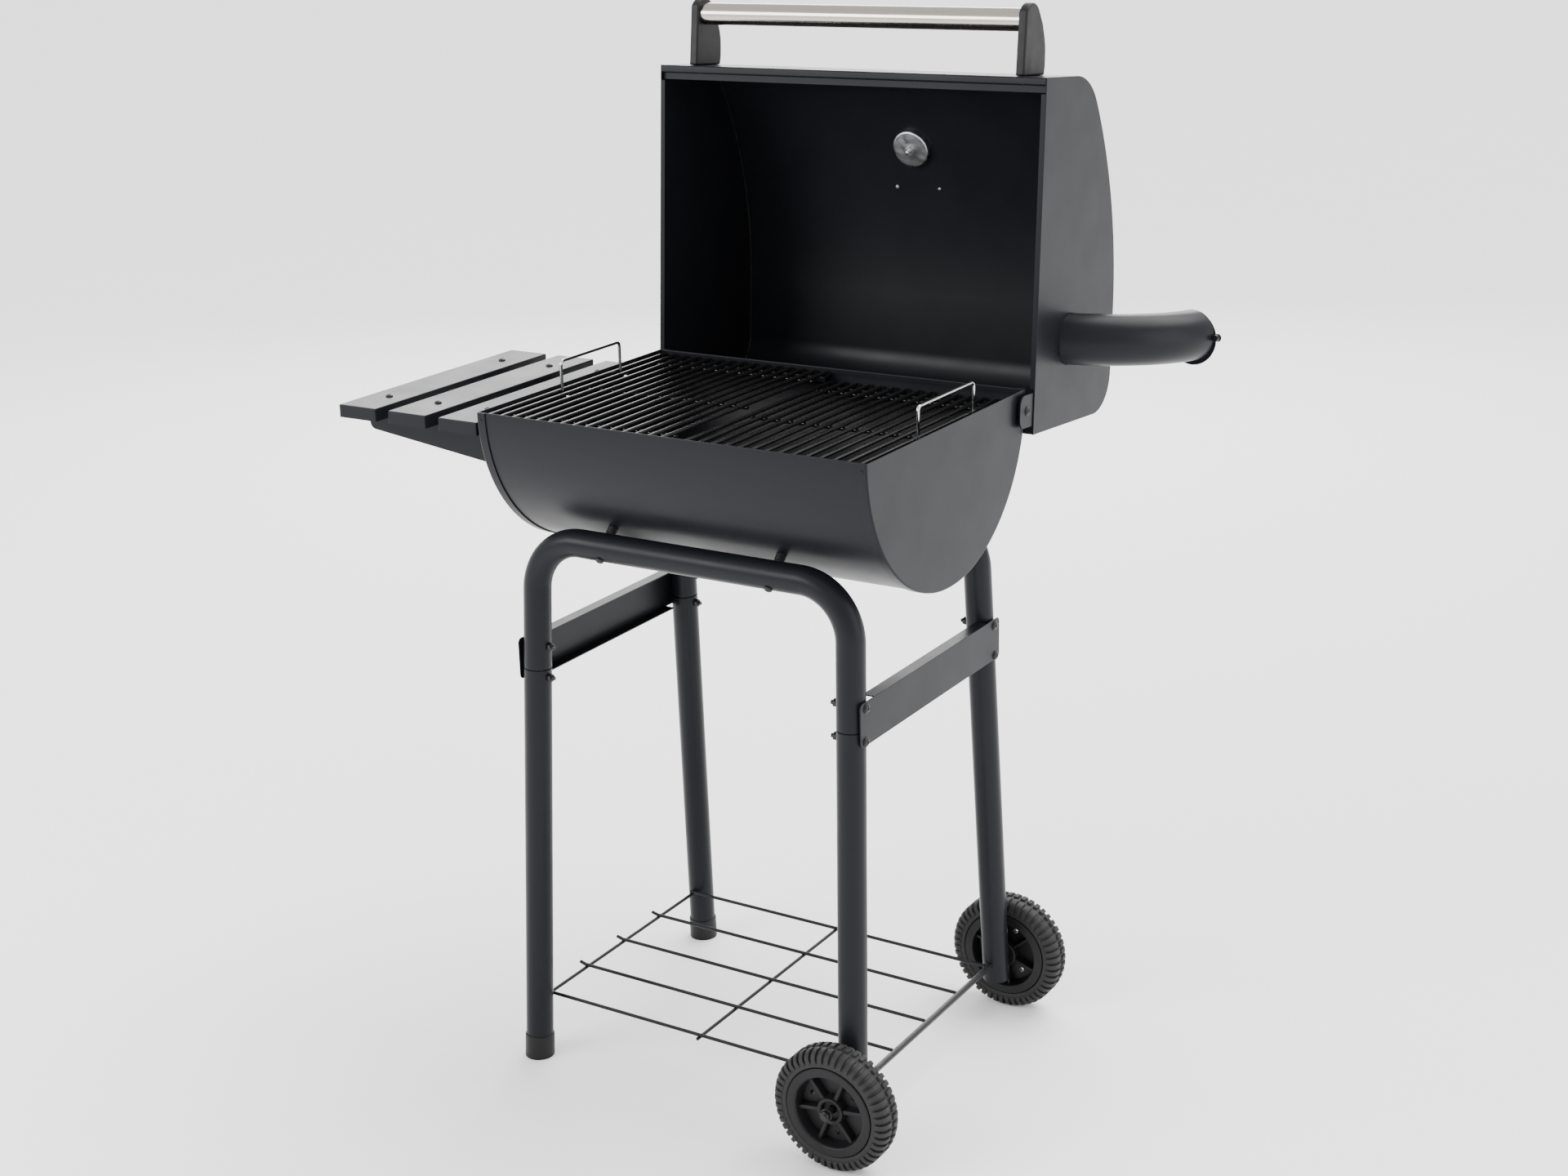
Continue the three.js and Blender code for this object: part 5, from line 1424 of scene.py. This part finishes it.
# ---------- studio ----------
FLOOR_SIZE = 60
WORLD_STRENGTH = 1.25
SKY_ENERGY = 4.0
SKY_ANGLE = math.radians(50)
SKY_TILT = (math.radians(-28), math.radians(12), 0)
CAMERA_FROM_MIDDLE = Vector((1.43258, -2.23573, 1.47073))
CAMERA_TURN = 0.563646
CAMERA_PITCH = 0.293444
CAMERA_ROLL = -0.0274697
LENS = 53.143
SENSOR = 36
SHIFT = (0.00829, -0.03513)
class GRILL_OT_studio(bpy.types.Operator):
    """Lays the pale floor and sets the soft lights and the camera"""

    bl_idname = "grill.studio"
    bl_label = "Studio"

    def execute(self, context):
        self.floor()
        self.lights()
        self.camera()
        return {"FINISHED"}

    def floor(self):
        deselect_all()
        bpy.ops.mesh.primitive_plane_add(size=FLOOR_SIZE, location=ORIGIN)
        floor = bpy.context.object
        floor.name = "studio_floor"
        base = tuple(colours().floor)
        material, tree, shader, place = start_material("studio_floor_paint", base, 0.85)
        mottle = grain(tree, place, 400 * MM, 2)
        tree.links.new(tinted(tree, mottle, shaded(base, 0.985), base), shader.inputs["Base Color"])
        floor.data.materials.append(material)
        world = bpy.data.worlds.new("studio_world")
        world.use_nodes = True
        background = world.node_tree.nodes["Background"]
        background.inputs["Color"].default_value = (1, 1, 1, 1)
        background.inputs["Strength"].default_value = WORLD_STRENGTH
        bpy.context.scene.world = world

    def soft_box(self, name, place, target, width, height, power):
        light = bpy.data.lights.new(name, "AREA")
        light.shape = "RECTANGLE"
        light.size = width
        light.size_y = height
        light.energy = power
        lamp = bpy.data.objects.new(name, light)
        lamp.location = place
        lamp.rotation_euler = (Vector(target) - Vector(place)).to_track_quat("-Z", "Y").to_euler()
        bpy.context.scene.collection.objects.link(lamp)

    def lights(self):
        aim = (0, 0, 0.75)
        self.soft_box("key_right", (3.2, 0.2, 1.6), aim, 2.2, 2.4, 42)
        self.soft_box("back_panel", (-1.9, 3.3, 2.3), aim, 3.4, 1.6, 125)
        self.soft_box("front_left", (-1.7, -2.5, 2.0), (0, 0.3, 0.95), 1.8, 1.2, 75)
        sky = bpy.data.lights.new("sky_panel", "SUN")
        sky.energy = SKY_ENERGY
        sky.angle = SKY_ANGLE
        panel = bpy.data.objects.new("sky_panel", sky)
        panel.rotation_euler = SKY_TILT
        bpy.context.scene.collection.objects.link(panel)

    def camera(self):
        data = bpy.data.cameras.new("camera")
        data.sensor_width = SENSOR
        data.lens = LENS
        data.shift_x, data.shift_y = SHIFT
        level = Vector((math.cos(CAMERA_TURN), math.sin(CAMERA_TURN), 0))
        flat = Vector((-math.sin(CAMERA_TURN), math.cos(CAMERA_TURN), 0))
        ahead = flat * math.cos(CAMERA_PITCH) - Vector((0, 0, math.sin(CAMERA_PITCH)))
        above = level.cross(ahead)
        right = level * math.cos(CAMERA_ROLL) + above * math.sin(CAMERA_ROLL)
        up = above * math.cos(CAMERA_ROLL) - level * math.sin(CAMERA_ROLL)
        camera = bpy.data.objects.new("camera", data)
        basis = Matrix((right, up, -ahead)).transposed().to_4x4()
        camera.matrix_world = Matrix.Translation(MIDDLE + CAMERA_FROM_MIDDLE) @ basis
        bpy.context.scene.collection.objects.link(camera)
        bpy.context.scene.camera = camera


STEPS = (
    GRILL_OT_bowl, GRILL_OT_ledges, GRILL_OT_bowl_bolts, GRILL_OT_grates, GRILL_OT_lid, GRILL_OT_hinges,
    GRILL_OT_handle, GRILL_OT_thermometer, GRILL_OT_chimney, GRILL_OT_stand, GRILL_OT_frame_bolts,
    GRILL_OT_wheels, GRILL_OT_axle, GRILL_OT_wire_shelf, GRILL_OT_side_shelf, GRILL_OT_studio,
)


class GRILL_PT_panel(bpy.types.Panel):
    """Lists the sizes, the colours and a button for each group of pieces"""

    bl_idname = "GRILL_PT_panel"
    bl_label = "Charcoal Grill"
    bl_space_type = "VIEW_3D"
    bl_region_type = "UI"
    bl_category = "Grill"

    def draw(self, context):
        for group in (context.scene.grill_sizes, context.scene.grill_colours):
            for name in group.bl_rna.properties.keys():
                if name not in ("rna_type", "name"):
                    self.layout.prop(group, name)
        for step in STEPS:
            self.layout.operator(step.bl_idname)


CLASSES = (GrillSizes, GrillColours, *STEPS, GRILL_PT_panel)


def register():
    for cls in CLASSES:
        bpy.utils.register_class(cls)
    bpy.types.Scene.grill_sizes = PointerProperty(type=GrillSizes)
    bpy.types.Scene.grill_colours = PointerProperty(type=GrillColours)


def unregister():
    del bpy.types.Scene.grill_colours
    del bpy.types.Scene.grill_sizes
    for cls in reversed(CLASSES):
        bpy.utils.unregister_class(cls)


def main():
    register()
    for step in STEPS:
        group, name = step.bl_idname.split(".")
        getattr(getattr(bpy.ops, group), name)()
    to_objects()


if __name__ == "__main__":
    main()
